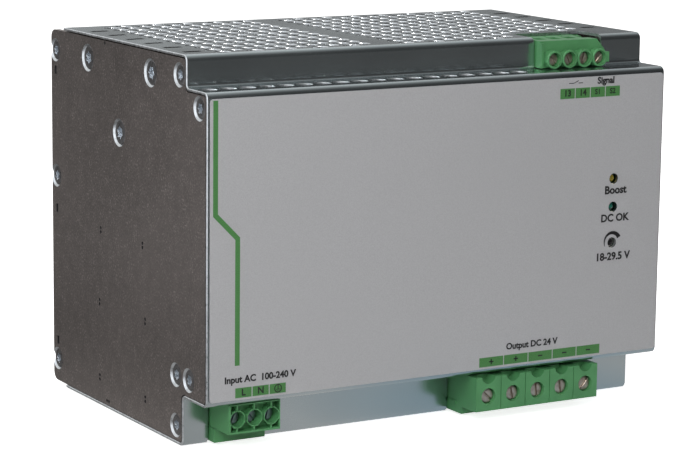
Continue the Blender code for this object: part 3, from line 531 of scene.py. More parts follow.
SIDE_STEEL = ZincSheet("zinc sheet", Slot.SIDE_STEEL, linear(133, 125, 121))
COVER_STEEL = SatinSheet("cover sheet", Slot.COVER_SHEET, linear(180, 188, 190), 0.2)
CUT_EDGE = BrightMetal("cut sheet edge", Slot.COVER_SHEET, linear(205, 208, 210), 0.3)
LABEL = GrainedFilm("label film", Slot.LABEL_FILM, linear(168, 168, 170))
GREEN_INK = Ink("green ink", Slot.LABEL_FILM, linear(56, 107, 53))
BLACK_INK = Ink("black ink", Slot.LABEL_FILM, linear(14, 14, 15))
GREEN = Moulding("green polyamide", Slot.TERMINAL_GREEN, linear(70, 128, 80))
PLATED = BrightMetal("zinc plate", Slot.PLATED_STEEL, linear(120, 118, 118), 0.3)
# The drive recess is the head's own plating painted much lighter and bluer: a painted highlight.
PAINTED_HIGHLIGHT_RECESS = BrightMetal("drive recess with painted highlight", Slot.PLATED_STEEL, linear(214, 219, 224), 0.4)
NICKEL = BrightMetal(
    "worn nickel plate", Slot.TERMINAL_SCREW, linear(200, 188, 178), 0.4, (0.9, 0.8, 0.72)
)
ZINC_SCREW = BrightMetal("dull zinc screw", Slot.TERMINAL_SCREW, linear(158, 168, 178), 0.4)
SPRING = BrightMetal("spring wire", Slot.SPRING_STEEL, linear(170, 170, 172), 0.3)
ALUMINIUM = BrightMetal("drawn aluminium", Slot.ALUMINIUM, linear(200, 202, 205), 0.38)
# Black plastic of the relay and the trimmer's body. Used as a cutter's material, it also paints
# shade on the walls of the holes it cuts.
BLACK_AND_PAINTED_SHADE = Moulding("black polyamide and painted hole shade", Slot.BLACK_PLASTIC, linear(38, 38, 40), 0.45)
BOARD = Moulding("solder mask", Slot.CIRCUIT_BOARD, linear(36, 92, 58), 0.4)
FERRITE = Moulding("ferrite and tape", Slot.FERRITE, linear(66, 66, 68), 0.6, 0.03)
COPPER = Winding("enamelled copper", Slot.COPPER_WIRE, linear(178, 98, 48))
SLEEVE = Moulding("capacitor sleeve", Slot.CAPACITOR_SLEEVE, linear(40, 46, 66), 0.32, 0.004)
AMBER = Lens("amber lens", Slot.AMBER_LENS, linear(150, 134, 36))
EMERALD = Lens("green lens", Slot.GREEN_LENS, linear(24, 110, 92))
IVORY = Moulding("ivory plastic", Slot.TRIMMER_PLASTIC, linear(226, 224, 214), 0.42)
FUSE = Moulding("glazed fuse", Slot.FUSE_BODY, linear(206, 208, 204), 0.2)


# Solids in casing millimetres


def solid(shape: bmesh.types.BMesh, finish: Finish) -> bpy.types.Object:
    """Turns a bmesh into an object with outward faces and one material.

    Args:
        shape: The closed shape, which is used up.
        finish: Its surface.

    Returns:
        The new object.
    """
    bmesh.ops.recalc_face_normals(shape, faces=shape.faces)
    mesh = bpy.data.meshes.new("solid")
    shape.to_mesh(mesh)
    shape.free()
    mesh.materials.append(finish.material())
    made = bpy.data.objects.new("solid", mesh)
    bpy.context.scene.collection.objects.link(made)
    return made


def block(
    low: Point, high: Point, finish: Finish, radius: float = 0.0
) -> bpy.types.Object:
    """Makes a box.

    Args:
        low: Its lowest corner.
        high: Its highest corner.
        finish: Its surface.
        radius: Radius of its edges.

    Returns:
        The box.
    """
    low, high = Vector(low), Vector(high)
    shape = bmesh.new()
    size = Matrix.Diagonal(high - low).to_4x4()
    bmesh.ops.create_cube(shape, size=1, matrix=Matrix.Translation((low + high) / 2) @ size)
    if radius:
        bevel(shape, shape.edges[:], radius)
    return solid(shape, finish)


def bevel(
    shape: bmesh.types.BMesh, edges: Iterable[bmesh.types.BMEdge], width: float, segments: int = 2
) -> None:
    """Rounds edges of a bmesh.

    Args:
        shape: The shape.
        edges: Which of its edges.
        width: How far the rounding reaches.
        segments: Faces across it.
    """
    bmesh.ops.bevel(
        shape,
        geom=list(edges),
        offset=width,
        offset_type="OFFSET",
        segments=segments,
        profile=0.5,
        affect="EDGES",
        clamp_overlap=True,
        material=-1,
    )


def prism(
    outline: Sequence[Point], axis: Axis, low: float, high: float, finish: Finish
) -> bpy.types.Object:
    """Draws an outline out along an axis.

    Args:
        outline: Corners across the axis.
        axis: The axis.
        low: Where it starts.
        high: Where it ends.
        finish: Its surface.

    Returns:
        The solid.
    """
    shape = bmesh.new()
    first, second = axis.others
    corners = []
    for a, b in outline:
        place = [0.0, 0.0, 0.0]
        place[axis.value], place[first], place[second] = low, a, b
        corners.append(shape.verts.new(place))
    drawn = bmesh.ops.extrude_face_region(shape, geom=[shape.faces.new(corners)])
    moved = [item for item in drawn["geom"] if isinstance(item, bmesh.types.BMVert)]
    reach = Vector((0, 0, 0))
    reach[axis.value] = high - low
    bmesh.ops.translate(shape, verts=moved, vec=reach)
    return solid(shape, finish)


def add_lathe(
    shape: bmesh.types.BMesh,
    profile: Sequence[Point],
    centre: Point,
    axis: Axis,
    sides: int,
    turn: float = 0.0,
) -> None:
    """Adds a turned solid to a bmesh.

    Args:
        shape: The bmesh.
        profile: Places along the axis with their radii, from the axis out and back.
        centre: Where the profile's zero is.
        axis: The axis.
        sides: Faces round it.
        turn: Angle of its first corner, in radians.
    """
    first, _ = axis.others
    line = []
    for along, radius in profile:
        place = Vector(centre)
        place[axis.value] += along
        place[first] += radius
        line.append(shape.verts.new(place))
    closed = profile[0][1] > 0
    pairs = list(zip(line, line[1:] + line[:1] if closed else line[1:]))
    edges = [shape.edges.new(pair) for pair in pairs]
    direction = Vector((0, 0, 0))
    direction[axis.value] = 1
    if turn:
        spin = Matrix.Rotation(turn, 3, direction)
        bmesh.ops.rotate(shape, cent=Vector(centre), matrix=spin, verts=line)
    bmesh.ops.spin(
        shape,
        geom=line + edges,
        cent=Vector(centre),
        axis=direction,
        angle=2 * math.pi,
        steps=sides,
        use_merge=True,
    )


def lathe(
    profile: Sequence[Point],
    centre: Point,
    axis: Axis,
    finish: Finish,
    sides: int = 32,
    turn: float = 0.0,
) -> bpy.types.Object:
    """A turned solid as an object."""
    return lathes(profile, [centre], axis, finish, sides, turn)


def lathes(
    profile: Sequence[Point],
    centres: Iterable[Point],
    axis: Axis,
    finish: Finish,
    sides: int = 32,
    turn: float = 0.0,
) -> bpy.types.Object:
    """Makes equal turned solids that don't touch as one object.

    Args:
        profile: Places along the axis with their radii, from the axis out and back.
        centres: Where each one's zero is.
        axis: The axis.
        finish: Their surface.
        sides: Faces round each.
        turn: Angle of the first corner, in radians.

    Returns:
        The object.
    """
    shape = bmesh.new()
    for centre in centres:
        add_lathe(shape, profile, centre, axis, sides, turn)
    bmesh.ops.remove_doubles(shape, verts=shape.verts, dist=1e-4)
    return solid(shape, finish)


def rod(start: float, end: float, radius: float) -> list[Point]:
    """Profile of a plain rod."""
    return [(start, 0), (start, radius), (end, radius), (end, 0)]


def drawn(curve: bpy.types.Curve, finish: Finish) -> bpy.types.Object:
    """Turns a curve or a line of text into a mesh.

    Args:
        curve: The curve.
        finish: Its surface.

    Returns:
        The new object.
    """
    guide = bpy.data.objects.new(curve.name, curve)
    bpy.context.scene.collection.objects.link(guide)
    bpy.context.view_layer.update()
    shown = guide.evaluated_get(bpy.context.evaluated_depsgraph_get())
    mesh = bpy.data.meshes.new_from_object(shown)
    bpy.data.objects.remove(guide)
    mesh.materials.clear()
    mesh.materials.append(finish.material())
    made = bpy.data.objects.new("drawn", mesh)
    bpy.context.scene.collection.objects.link(made)
    return made


def merged(pieces: Sequence[bpy.types.Object]) -> bpy.types.Object:
    """Makes several objects one, with their materials kept.

    Args:
        pieces: The objects, which are used up.

    Returns:
        The object.
    """
    base = pieces[0]
    materials = [slot.material for slot in base.material_slots]
    shape = bmesh.new()
    for piece in pieces:
        slots = [slot.material for slot in piece.material_slots]
        for material in slots:
            if material not in materials:
                materials.append(material)
        before = len(shape.faces)
        shape.from_mesh(piece.data)
        shape.faces.ensure_lookup_table()
        for face in shape.faces[before:]:
            face.material_index = materials.index(slots[face.material_index])
    mesh = bpy.data.meshes.new("merged")
    shape.to_mesh(mesh)
    shape.free()
    for material in materials:
        mesh.materials.append(material)
    for piece in pieces[1:]:
        bpy.data.objects.remove(piece)
    base.data = mesh
    return base


def evaluated(piece: bpy.types.Object) -> bpy.types.Object:
    """Applies a piece's modifiers.

    Args:
        piece: The piece.

    Returns:
        The piece.
    """
    bpy.context.view_layer.update()
    shown = piece.evaluated_get(bpy.context.evaluated_depsgraph_get())
    mesh = bpy.data.meshes.new_from_object(shown)
    piece.modifiers.clear()
    piece.data = mesh
    return piece


def combine(
    body: bpy.types.Object, operation: Operation, *tools: bpy.types.Object
) -> bpy.types.Object:
    """Cuts or joins the body with each tool, whose faces keep their material.

    Args:
        body: The body.
        operation: What is done.
        tools: The tools, which are used up.

    Returns:
        The body.
    """
    for tool in tools:
        modifier = body.modifiers.new(operation.value, "BOOLEAN")
        modifier.operation = operation.value
        modifier.solver = "EXACT"
        modifier.material_mode = "TRANSFER"
        modifier.object = tool
        evaluated(body)
        bpy.data.objects.remove(tool)
    return body


def cut(body: bpy.types.Object, *tools: bpy.types.Object) -> bpy.types.Object:
    """Cuts the tools out of the body."""
    return combine(body, Operation.CUT, *tools)


def join(body: bpy.types.Object, *tools: bpy.types.Object) -> bpy.types.Object:
    """Joins the tools to the body."""
    return combine(body, Operation.JOIN, *tools)


def soften(body: bpy.types.Object, width: float, segments: int = 2) -> bpy.types.Object:
    """Rounds every sharp edge of a finished shape.

    Args:
        body: The shape.
        width: How far the rounding reaches.
        segments: Faces across it.

    Returns:
        The shape.
    """
    modifier = body.modifiers.new("soften", "BEVEL")
    modifier.width = width
    modifier.segments = segments
    modifier.limit_method = "ANGLE"
    modifier.angle_limit = SMOOTH_ANGLE
    modifier.use_clamp_overlap = True
    modifier.miter_outer = "MITER_ARC"
    return evaluated(body)


def place_piece(
    piece: bpy.types.Object, name: str, body: str, replaced: Sequence[str] = ()
) -> bpy.types.Object:
    """Names a finished piece, brings it to the frame and lets it ride on its body.

    Args:
        piece: The finished piece in casing millimetres.
        name: Its name.
        body: The CAD body it moves with.
        replaced: CAD nodes it stands for.

    Returns:
        The piece.
    """
    mesh = piece.data
    mesh.transform(TO_FRAME)
    mesh.shade_smooth()
    mesh.set_sharp_from_angle(angle=SMOOTH_ANGLE)
    normals = piece.modifiers.new("face normals", "WEIGHTED_NORMAL")
    normals.keep_sharp = True
    piece.name = name
    mesh.name = name
    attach(piece, body)
    if replaced:
        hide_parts(*replaced)
    LOG.info("%s on %s: %d faces", name, body, len(mesh.polygons))
    return piece


# Casing


def folded(
    corners: Sequence[Point], offset: float, radius: float, steps: int
) -> tuple[list[Vector], list[Vector]]:
    """Bends a sheet along a middle line.

    Args:
        corners: The line's corners.
        offset: How far each face is from it.
        radius: The line's radius at the corners.
        steps: Faces at each of them.

    Returns:
        The inner and the outer face.
    """
    points = [Vector(corner) for corner in corners]
    inner: list[Vector] = []
    outer: list[Vector] = []

    def add(point: Vector, direction: Vector) -> None:
        """Adds the faces' points beside one point of the middle line.

        Args:
            point: The point.
            direction: Where the line goes there.
        """
        aside = Vector((-direction.y, direction.x)) * offset
        inner.append(point + aside)
        outer.append(point - aside)

    add(points[0], (points[1] - points[0]).normalized())
    for before, corner, after in zip(points, points[1:], points[2:]):
        coming = (corner - before).normalized()
        going = (after - corner).normalized()
        turn = math.atan2(coming.cross(going), coming.dot(going))
        start = corner - coming * radius * math.tan(abs(turn) / 2)
        inward = Vector((-coming.y, coming.x)) * math.copysign(radius, turn)
        for step in range(steps + 1):
            swing = Matrix.Rotation(turn * step / steps, 2)
            add(start + inward - swing @ inward, swing @ coming)
    add(points[-1], (points[-1] - points[-2]).normalized())
    return inner, outer


@dataclass(frozen=True)
class Fold:
    """The cover's line in y and z, and how it bends."""

    upper_step: float = 15.0
    upper_height: float = 10.6
    lower_step: float = 17.6
    lower_height: float = 16.6
    panel: float = 0.5  # front face of the panel under the label
    radius: float = 1.7
    steps: int = 8

    def line(self) -> list[Point]:
        """Follows the sheet's middle from the top's rear edge over the front to the bottom's.

        Returns:
            The line's corners.
        """
        half = SHEET / 2
        return [
            (REAR_EDGE, HEIGHT - half),
            (self.upper_step + half, HEIGHT - half),
            (self.upper_step + half, HEIGHT - self.upper_height - half),
            (self.panel + half, HEIGHT - self.upper_height - half),
            (self.panel + half, self.lower_height + half),
            (self.lower_step + half, self.lower_height + half),
            (self.lower_step + half, half),
            (REAR_EDGE, half),
        ]


@dataclass(frozen=True)
class Lattice:
    """A field of round holes: columns across x, with every second one shifted by half a pitch."""

    left: float
    columns: int
    front: float
    rows: int
    pitch: float = 7.0
    column_pitch: float = 6.062

    def centres(self) -> list[Point]:
        """Places the holes.

        Returns:
            The middle of each in x and y.
        """
        return [
            (
                self.left + self.column_pitch * column,
                self.front + self.pitch * (row + (column % 2) / 2),
            )
            for column in range(self.columns)
            for row in range(self.rows)
        ]


@dataclass(frozen=True)
class ScrewPlace:
    """A casing screw in a side plate."""

    y: float
    z: float
    head: float
    turn: float = 0.0


LEFT_SCREWS = (
    ScrewPlace(118.5, 121.5, 3.4, 0.2),
    ScrewPlace(91.0, 121.5, 4.1, 0.5),
    ScrewPlace(41.5, 121.5, 4.1, 0.1),
    ScrewPlace(20.2, 123.1, 3.4, 0.4),
    ScrewPlace(6.0, 113.8, 3.4, 0.0),
    ScrewPlace(65.9, 98.5, 4.1, 0.3),
    ScrewPlace(118.4, 76.5, 3.4, 0.6),
    ScrewPlace(118.5, 9.4, 3.4, 0.25),
    ScrewPlace(22.8, 23.4, 3.4, 0.5),
    ScrewPlace(13.5, 23.4, 3.4, 0.15),
    ScrewPlace(22.8, 6.3, 3.4, 0.35),
)


TOP_RIM = (  # of a vent in the top: height over the sheet's face, and radius
    (REACH, 3.1),
    (-0.01, 3.1),
    (-0.05, 2.93),
    (-0.16, 2.81),
    (-0.34, HOLE_RADIUS),
    (-SHEET - REACH / 2, HOLE_RADIUS),
)
LEDGE_RIM = (
    (REACH, 2.92),
    (-0.01, 2.92),
    (-0.12, 2.8),
    (-0.34, HOLE_RADIUS),
    (-SHEET - REACH, HOLE_RADIUS),
)
REAR_SLOTS = ((118.5, 114.4), (118.0, 64.75), (118.0, 16.25))  # middles in y and z
DENT_PAIRS = ((81, 62.6), (47.9, 62.6), (82.4, 36.9), (46, 36.9), (82.4, 10), (46, 10))
SINGLE_DENTS = ((77, 127.9), (75, 2.7), (76.6, 2.7))


def punch(face: float, rim: Sequence[Point]) -> list[Point]:
    """Profile of a punch for a hole with this rim in this face."""
    profile = [(face + height, radius) for height, radius in rim]
    return [(profile[0][0], 0), *profile, (profile[-1][0], 0)]


@dataclass
class Casing:
    """Bent cover, both side plates and their countersunk screws."""

    fold: Fold = field(default_factory=Fold)
    edge_round: float = 0.26  # of the cover's sheet
    top_fields: tuple[Lattice, ...] = (Lattice(15.2, 10, 19.75, 13), Lattice(85.0, 14, 19.75, 13))
    base_fields: tuple[Lattice, ...] = (Lattice(15.2, 10, 40.0, 10), Lattice(85.0, 14, 40.0, 10))
    ledge_start: float = 4.4  # first of the ledge's vents
    ledge_pitch: float = 7.0
    ledge_y: float = 8.0
    ledge_count: int = 18
    slot_columns: tuple[Point, ...] = ((3.2, 9.6), (WIDTH - 9.6, WIDTH - 3.2))
    slot_start: float = 23.8
    slot_pitch: float = 14.2
    slot_half: float = 1.4
    slot_count: int = 6
    signal_opening: tuple[float, float] = (134.3, 162.9)  # in x
    signal_span: tuple[float, float] = (14.0, 28.2)  # in y
    web: float = 3.6  # from the signal plug's opening to the middle of the nearest vent
    terminal_openings: tuple[Point, ...] = ((9.275, 29.525), (103.0, 155.0))
    terminal_span: tuple[float, float] = (16.6, 31.6)
    plate: float = 2.0  # thickness of a side plate
    plate_rear: float = 122.0
    plate_corner: float = 3.0
    sink: float = 0.35  # of a casing screw's face

    def build(self) -> None:
        """Makes every casing piece that shows."""
        self.build_cover()
        self.build_side("left", 0.0, 1.0, LEFT_SCREWS)
        right = [LEFT_SCREWS[index] for index in (0, 3, 5, 7, 10)]
        self.build_side("right", WIDTH, -1.0, right)

    def top_holes(self) -> list[Point]:
        """Places the top's vents, clear of the signal plug's opening.

        Returns:
            Their centres.
        """
        low, high = (self.signal_opening[0] - self.web, self.signal_opening[1] + self.web)
        rear = self.signal_span[1] + self.web
        return [
            (x, y, 0.0)
            for holes in self.top_fields
            for x, y in holes.centres()
            if not (low < x < high and y < rear)
        ]

    def border_slots(self) -> list[bpy.types.Object]:
        """Makes the tools for the short slots at the top's left and right borders.

        Returns:
            The tools.
        """
        tools = []
        for index in range(self.slot_count):
            y = self.slot_start + self.slot_pitch * index
            for start, end in self.slot_columns:
                if y > self.signal_span[1] or start < WIDTH / 2:
                    # The slots' walls take this black: painted shade in the slots.
                    low = (start, y - self.slot_half, HEIGHT - 2 * SHEET)
                    tools.append(block(low, (end, y + self.slot_half, HEIGHT + REACH), BLACK_AND_PAINTED_SHADE))
        return tools

    def openings(self) -> list[bpy.types.Object]:
        """Makes the tools for the openings at the terminals and the controls.

        Returns:
            The tools.
        """
        (low, high), (front, rear) = self.signal_opening, self.signal_span
        ledge = HEIGHT - self.fold.upper_height
        tools = [block((low, front, ledge), (high, rear, HEIGHT + REACH), CUT_EDGE)]
        front, rear = self.terminal_span
        for low, high in self.terminal_openings:
            top = self.fold.lower_height
            tools.append(block((low, front, -REACH), (high, rear, top), CUT_EDGE))
        hole = rod(-REACH, 3, CONTROL_HOLE)
        tools.append(lathes(hole, CONTROL_CENTRES, Axis.Y, IVORY, 24))
        return tools

    def build_cover(self) -> None:
        """Bends the sheet, then punches its holes and openings."""
        fold = self.fold
        inner, outer = folded(fold.line(), SHEET / 2, fold.radius, fold.steps)
        cover = prism(inner + outer[::-1], Axis.X, 0, WIDTH, COVER_STEEL)
        soften(cover, self.edge_round, 1)
        top = punch(HEIGHT, TOP_RIM)
        base = rod(-REACH, SHEET + REACH, HOLE_RADIUS)
        below = [(x, y, 0.0) for holes in self.base_fields for x, y in holes.centres()]
        ledge = punch(HEIGHT - fold.upper_height, LEDGE_RIM)
        row = [
            (self.ledge_start + self.ledge_pitch * index, self.ledge_y, 0.0)
            for index in range(self.ledge_count)
        ]
        cut(
            cover,
            lathes(top, self.top_holes(), Axis.Z, CUT_EDGE, 18, 0.1),
            lathes(base, below, Axis.Z, CUT_EDGE, 12, 0.1),
            lathes(ledge, row, Axis.Z, CUT_EDGE, 18, 0.1),
            *self.border_slots(),
            *self.openings(),
        )
        self.bare_edges(cover)
        place_piece(cover, "bent_cover", "chassis", ["cover"])

    @staticmethod
    def bare_edges(cover: bpy.types.Object) -> None:
        """Gives the sheet's cut edges the bare metal of the punched holes.

        Args:
            cover: The finished cover.
        """
        index = [slot.material for slot in cover.material_slots].index(CUT_EDGE.material())
        for face in cover.data.polygons:
            if abs(face.normal.x) > 0.3 or face.normal.y > 0.95:
                face.material_index = index

    def plate_outline(self) -> list[Vector]:
        """Follows the cover's inside and rounds the rear corners.

        Returns:
            A side plate's outline in y and z.
        """
        fold = self.fold
        outline, _ = folded(fold.line(), SHEET / 2 + GAP, fold.radius, fold.steps)
        radius, inset, steps = self.plate_corner, SHEET + GAP, 8
        rear = self.plate_rear - radius
        for height, start in ((inset + radius, -90), (HEIGHT - inset - radius, 0)):
            for step in range(steps + 1):
                angle = math.radians(start + 90 * step / steps)
                reach = Vector((math.cos(angle), math.sin(angle))) * radius
                outline.append(Vector((rear, height)) + reach)
        return outline

    def plate_tools(
        self, outer: float, inward: float, screws: Sequence[ScrewPlace]
    ) -> list[bpy.types.Object]:
        """Makes the tools for a plate's countersinks, slots and press marks.

        Args:
            outer: The plate's outer face in x.
            inward: 1 if the casing lies to the right of it, or -1.
            screws: Its screws.

        Returns:
            The tools.
        """
        front = -REACH * inward
        tools = []
        for screw in screws:
            mouth = screw.head + 0.7
            profile = [
                (front, 0),
                (front, mouth),
                (0, mouth),
                (0.7 * inward, screw.head + 0.03),
                (1.9 * inward, 1.8),
                (3 * inward, 1.8),
                (3 * inward, 0),
            ]
            tools.append(lathe(profile, (outer, screw.y, screw.z), Axis.X, CUT_EDGE, 36))
        low, high = sorted((outer + front, outer + 3 * inward))
        # The rear slots and press marks take black on their walls and floors: painted shade.
        for y, z in REAR_SLOTS:
            tools.append(block((low, y - 0.8, z - 1.5), (high, y + 0.8, z + 1.5), BLACK_AND_PAINTED_SHADE))
        dents = [(outer, y, z + shift) for y, z in DENT_PAIRS for shift in (-0.75, 0.75)]
        dents += [(outer, y, z) for y, z in SINGLE_DENTS]
        dent = [(front, 0), (front, 0.66), (0.8 * inward, 0.6), (0.8 * inward, 0)]
        tools.append(lathes(dent, dents, Axis.X, BLACK_AND_PAINTED_SHADE, 12))
        return tools

    def build_side(
        self, side: str, outer: float, inward: float, screws: Sequence[ScrewPlace]
    ) -> None:
        """Makes a side plate and its screws.

        Args:
            side: The side's name.
            outer: The plate's outer face in x.
            inward: 1 if the casing lies to the right of it, or -1.
            screws: Its screws.
        """
        low, high = sorted((outer, outer + self.plate * inward))
        plate = prism(self.plate_outline(), Axis.X, low, high, SIDE_STEEL)
        cut(plate, *self.plate_tools(outer, inward, screws))
        place_piece(plate, f"{side}_plate", "chassis", [f"{side}_side_plate"])
        for number, screw in enumerate(screws, 1):
            place_piece(
                self.countersunk(screw, outer + self.sink * inward, inward),
                f"{side}_casing_screw_{number}",
                "chassis",
                [f"{side}_screw_{number}"],
            )

    @staticmethod
    def countersunk(screw: ScrewPlace, face: float, inward: float) -> bpy.types.Object:
        """Makes a countersunk screw with a six-lobed drive and a rounded rim.

        Args:
            screw: Its place and size.
            face: The head's face in x.
            inward: 1 if it points to the right, or -1.

        Returns:
            The screw.
        """
        head, steps = screw.head, 36
        profile = [
            (0.1 * inward, 0),
            (0, head * 0.55),
            (0.06 * inward, head - 0.3),
            (0.22 * inward, head - 0.05),
            (0.34 * inward, head),
            (1.6 * inward, 1.5),
            (5.3 * inward, 1.5),
            (5.5 * inward, 1.2),
            (5.5 * inward, 0),
        ]
        body = lathe(profile, (face, screw.y, screw.z), Axis.X, PLATED, steps)
        lobes = []
        for step in range(steps):
            angle = 2 * math.pi * step / steps
            radius = head * 0.47 * (1 + 0.16 * math.cos(6 * angle))
            angle += screw.turn
            lobes.append((screw.y + radius * math.cos(angle), screw.z + radius * math.sin(angle)))
        low, high = sorted((face - REACH * inward, face + 1.25 * inward))
        # The drive recess's walls take the painted highlight.
        return cut(body, prism(lobes, Axis.X, low, high, PAINTED_HIGHLIGHT_RECESS))


# Front label


@dataclass
class FrontLabel:
    """Film on the front panel with its printed lines, cells and signs."""

    left: float = 0.8
    right: float = 179.2
    bottom: float = 18.5
    top: float = 117.4
    corner: float = 1.2
    face: float = 0.06
    back: float = 0.2
    print_face: float = 0.02
    print_back: float = 0.1
    ring_step: float = 0.01  # how far rings start in front of other print
    black_step: float = 0.012  # how far black print starts in front of green
    letter_depth: float = 0.03
    letter_swell: float = 0.1 / 3  # of the letters' outlines, for each millimetre of size
    cell_gap: float = 0.35

    def build(self) -> None:
        """Makes the film and everything printed on it."""
        self.build_film()
        green = [self.bar(self.accent_line()), *self.cells()]
        place_piece(merged(green), "label_green_print", "chassis")
        place_piece(merged(self.black_print()), "label_black_print", "chassis")

    def build_film(self) -> None:
        """The film with round corners and its three holes."""
        film = block((self.left, self.face, self.bottom), (self.right, self.back, self.top), LABEL)
        shape = bmesh.new()
        shape.from_mesh(film.data)
        upright = [
            edge
            for edge in shape.edges
            if abs((edge.verts[0].co - edge.verts[1].co).normalized().y) > 0.9
        ]
        bevel(shape, upright, self.corner, 4)
        shape.to_mesh(film.data)
        shape.free()
        cut(film, lathes(rod(-REACH, 1, CONTROL_HOLE), CONTROL_CENTRES, Axis.Y, LABEL, 24))
        place_piece(film, "label_film", "chassis", ["front_label"])

    def bar(self, outline: Sequence[Point], finish: Finish = GREEN_INK) -> bpy.types.Object:
        """A printed area with this outline in x and z."""
        return prism(outline, Axis.Y, self.print_face, self.print_back, finish)

    def rectangle(
        self, left: float, bottom: float, right: float, top: float, finish: Finish = GREEN_INK
    ) -> bpy.types.Object:
        """A printed rectangle."""
        corners = [(left, bottom), (right, bottom), (right, top), (left, top)]
        return self.bar(corners, finish)

    @staticmethod
    def accent_line() -> list[Point]:
        """Draws a plain line down the label's left, stepped once.

        Returns:
            Its outline.
        """
        return [
            (1.95, 116.9),
            (1.95, 79.6),
            (10.0, 71.5),
            (10.0, 30.0),
            (11.75, 30.0),
            (11.75, 72.2),
            (3.7, 80.3),
            (3.7, 116.9),
        ]

    def cells(self) -> list[bpy.types.Object]:
        """Prints green fields at the poles of each terminal.

        Returns:
            The fields.
        """
        made = []
        for start, pitch, count, low, high in (
            (10.2, 6.35, 3, 19.2, 22.5),
            (104.6, 10.16, 5, 19.2, 22.5),
            (135.5, 6.35, 4, 110.2, 113.75),
        ):
            for index in range(count):
                left = start + pitch * index
                made.append(self.rectangle(left, low, left + pitch - self.cell_gap, high))
        return made

    def text(self, body: str, x: float, z: float, size: float) -> bpy.types.Object:
        """Prints letters centred on a place.

        Args:
            body: The words.
            x: Their middle from the left.
            z: Their middle from the base.
            size: Their size.

        Returns:
            The letters.
        """
        curve = bpy.data.curves.new(body, "FONT")
        curve.body = body
        curve.size = size
        curve.align_x = "CENTER"
        curve.align_y = "CENTER"
        curve.extrude = self.letter_depth
        curve.offset = self.letter_swell * size
        curve.resolution_u = 3
        letters = drawn(curve, BLACK_INK)
        middle = self.print_face - self.ring_step + self.letter_depth
        upright = Matrix.Rotation(math.pi / 2, 4, "X")
        letters.data.transform(Matrix.Translation((x, middle, z)) @ upright)
        return letters

    def ring(self, x: float, z: float, radius: float, width: float) -> bpy.types.Object:
        """Prints a ring.

        Args:
            x: Its middle from the left.
            z: Its middle from the base.
            radius: Its outer radius.
            width: Its line's width.

        Returns:
            The ring.
        """
        low, high = self.print_face - self.ring_step, self.print_back
        profile = [(low, radius - width), (low, radius), (high, radius), (high, radius - width)]
        return lathe(profile, (x, 0, z), Axis.Y, BLACK_INK, 24)

    def taper(self) -> bpy.types.Object:
        """Prints the turning sign over the trimmer: an arc that widens clockwise.

        Returns:
            The arc.
        """
        radius, height, steps = 3.3, TRIMMER_HEIGHT + 0.2, 16
        outer, inner = [], []
        for step in range(steps + 1):
            share = step / steps
            angle = math.radians(205 - 178 * share)
            half = 0.1 + 0.72 * share
            for reach, side in ((radius + half, outer), (radius - half, inner)):
                side.append(
                    (CONTROL_X + reach * math.cos(angle), height + reach * math.sin(angle))
                )
        return self.bar(outer + inner[::-1], BLACK_INK)

    def black_print(self) -> list[bpy.types.Object]:
        """Prints the words and signs in black.

        Returns:
            The pieces of print.
        """
        words = (
            ("Input AC  100-240 V", 19.4, 25.3, 3.1),
            ("Output DC 24 V", 126.2, 25.4, 3.1),
            ("Signal", 154.6, 115.8, 3.2),
            ("Boost", 160.0, 77.0, 3.9),
            ("DC OK", 160.0, 67.1, 3.7),
            ("18-29.5 V", 159.6, 53.4, 3.75),
            ("L", 13.2, 20.85, 3.1),
            ("N", 19.6, 20.85, 3.1),
            ("13", 138.5, 112.0, 3.0),
            ("14", 144.9, 112.0, 3.0),
            ("S1", 151.2, 112.0, 2.6),
            ("S2", 157.5, 112.0, 2.6),
        )
        bars = [
            (25.83, 20.6, 26.17, 21.9),  # the earth sign in its ring
            (25.1, 20.5, 26.9, 20.7),
            (25.45, 20.1, 26.55, 20.3),
            (139.0, 115.35, 141.0, 115.6),  # the two ends of the contact's sign
            (143.0, 115.35, 144.8, 115.6),
        ]
        arm = [(141.0, 115.35), (143.0, 116.2), (143.0, 116.45), (141.0, 115.6)]
        made = [self.text(*word) for word in words]
        made += [self.taper(), self.ring(26.0, 20.85, 1.45, 0.36)]
        made += [self.rectangle(*corners, BLACK_INK) for corners in bars]
        made.append(self.bar(arm, BLACK_INK))
        for index in range(5):
            x = 109.5 + 10.16 * index
            made.append(self.rectangle(x - 0.95, 20.62, x + 0.95, 21.12, BLACK_INK))
            if index < 2:  # plus signs, then minus signs
                made.append(self.rectangle(x - 0.24, 19.95, x + 0.24, 21.8, BLACK_INK))
        for piece in made:
            piece.data.transform(Matrix.Translation((0, -self.black_step, 0)))
        return made


# Terminals


@dataclass(frozen=True)
class Poles:
    """A row of equal poles."""

    centre: float
    pitch: float
    count: int

    def places(self) -> list[float]:
        """Places the poles.

        Returns:
            The middle of each in x.
        """
        return [
            self.centre + self.pitch * (index - (self.count - 1) / 2)
            for index in range(self.count)
        ]

    def ends(self) -> tuple[float, float]:
        """The row's left and right ends."""
        half = self.pitch * self.count / 2
        return self.centre - half, self.centre + half


def slotted_screw(
    centre: Point, radius: float, turn: float, slot: float = 0.85, finish: Finish = NICKEL
) -> bpy.types.Object:
    """Makes a slotted screw that faces the front, with a rounded rim.

    Args:
        centre: Middle of the head's face.
        radius: Head radius.
        turn: The slot's angle from the vertical, in degrees, clockwise from the front.
        slot: The slot's width.
        finish: The plating.

    Returns:
        The screw.
    """
    profile = [
        (0.05, 0),
        (0, radius * 0.6),
        (0.04, radius - 0.25),
        (0.16, radius - 0.06),
        (0.32, radius),
        (1.2, radius),
        (1.2, radius * 0.58),
        (2.1, radius * 0.58),
        (2.1, 0),
    ]
    screw = lathe(profile, centre, Axis.Y, finish, 32)
    shape = bmesh.new()
    bmesh.ops.create_cube(
        shape,
        size=1,
        matrix=Matrix.Translation(Vector(centre))
        @ Matrix.Rotation(math.radians(turn), 4, "Y")
        @ Matrix.Diagonal((slot, 1.7, 2 * (radius + REACH), 1)),
    )
    cut(screw, solid(shape, finish))
    return soften(screw, 0.05, 1)


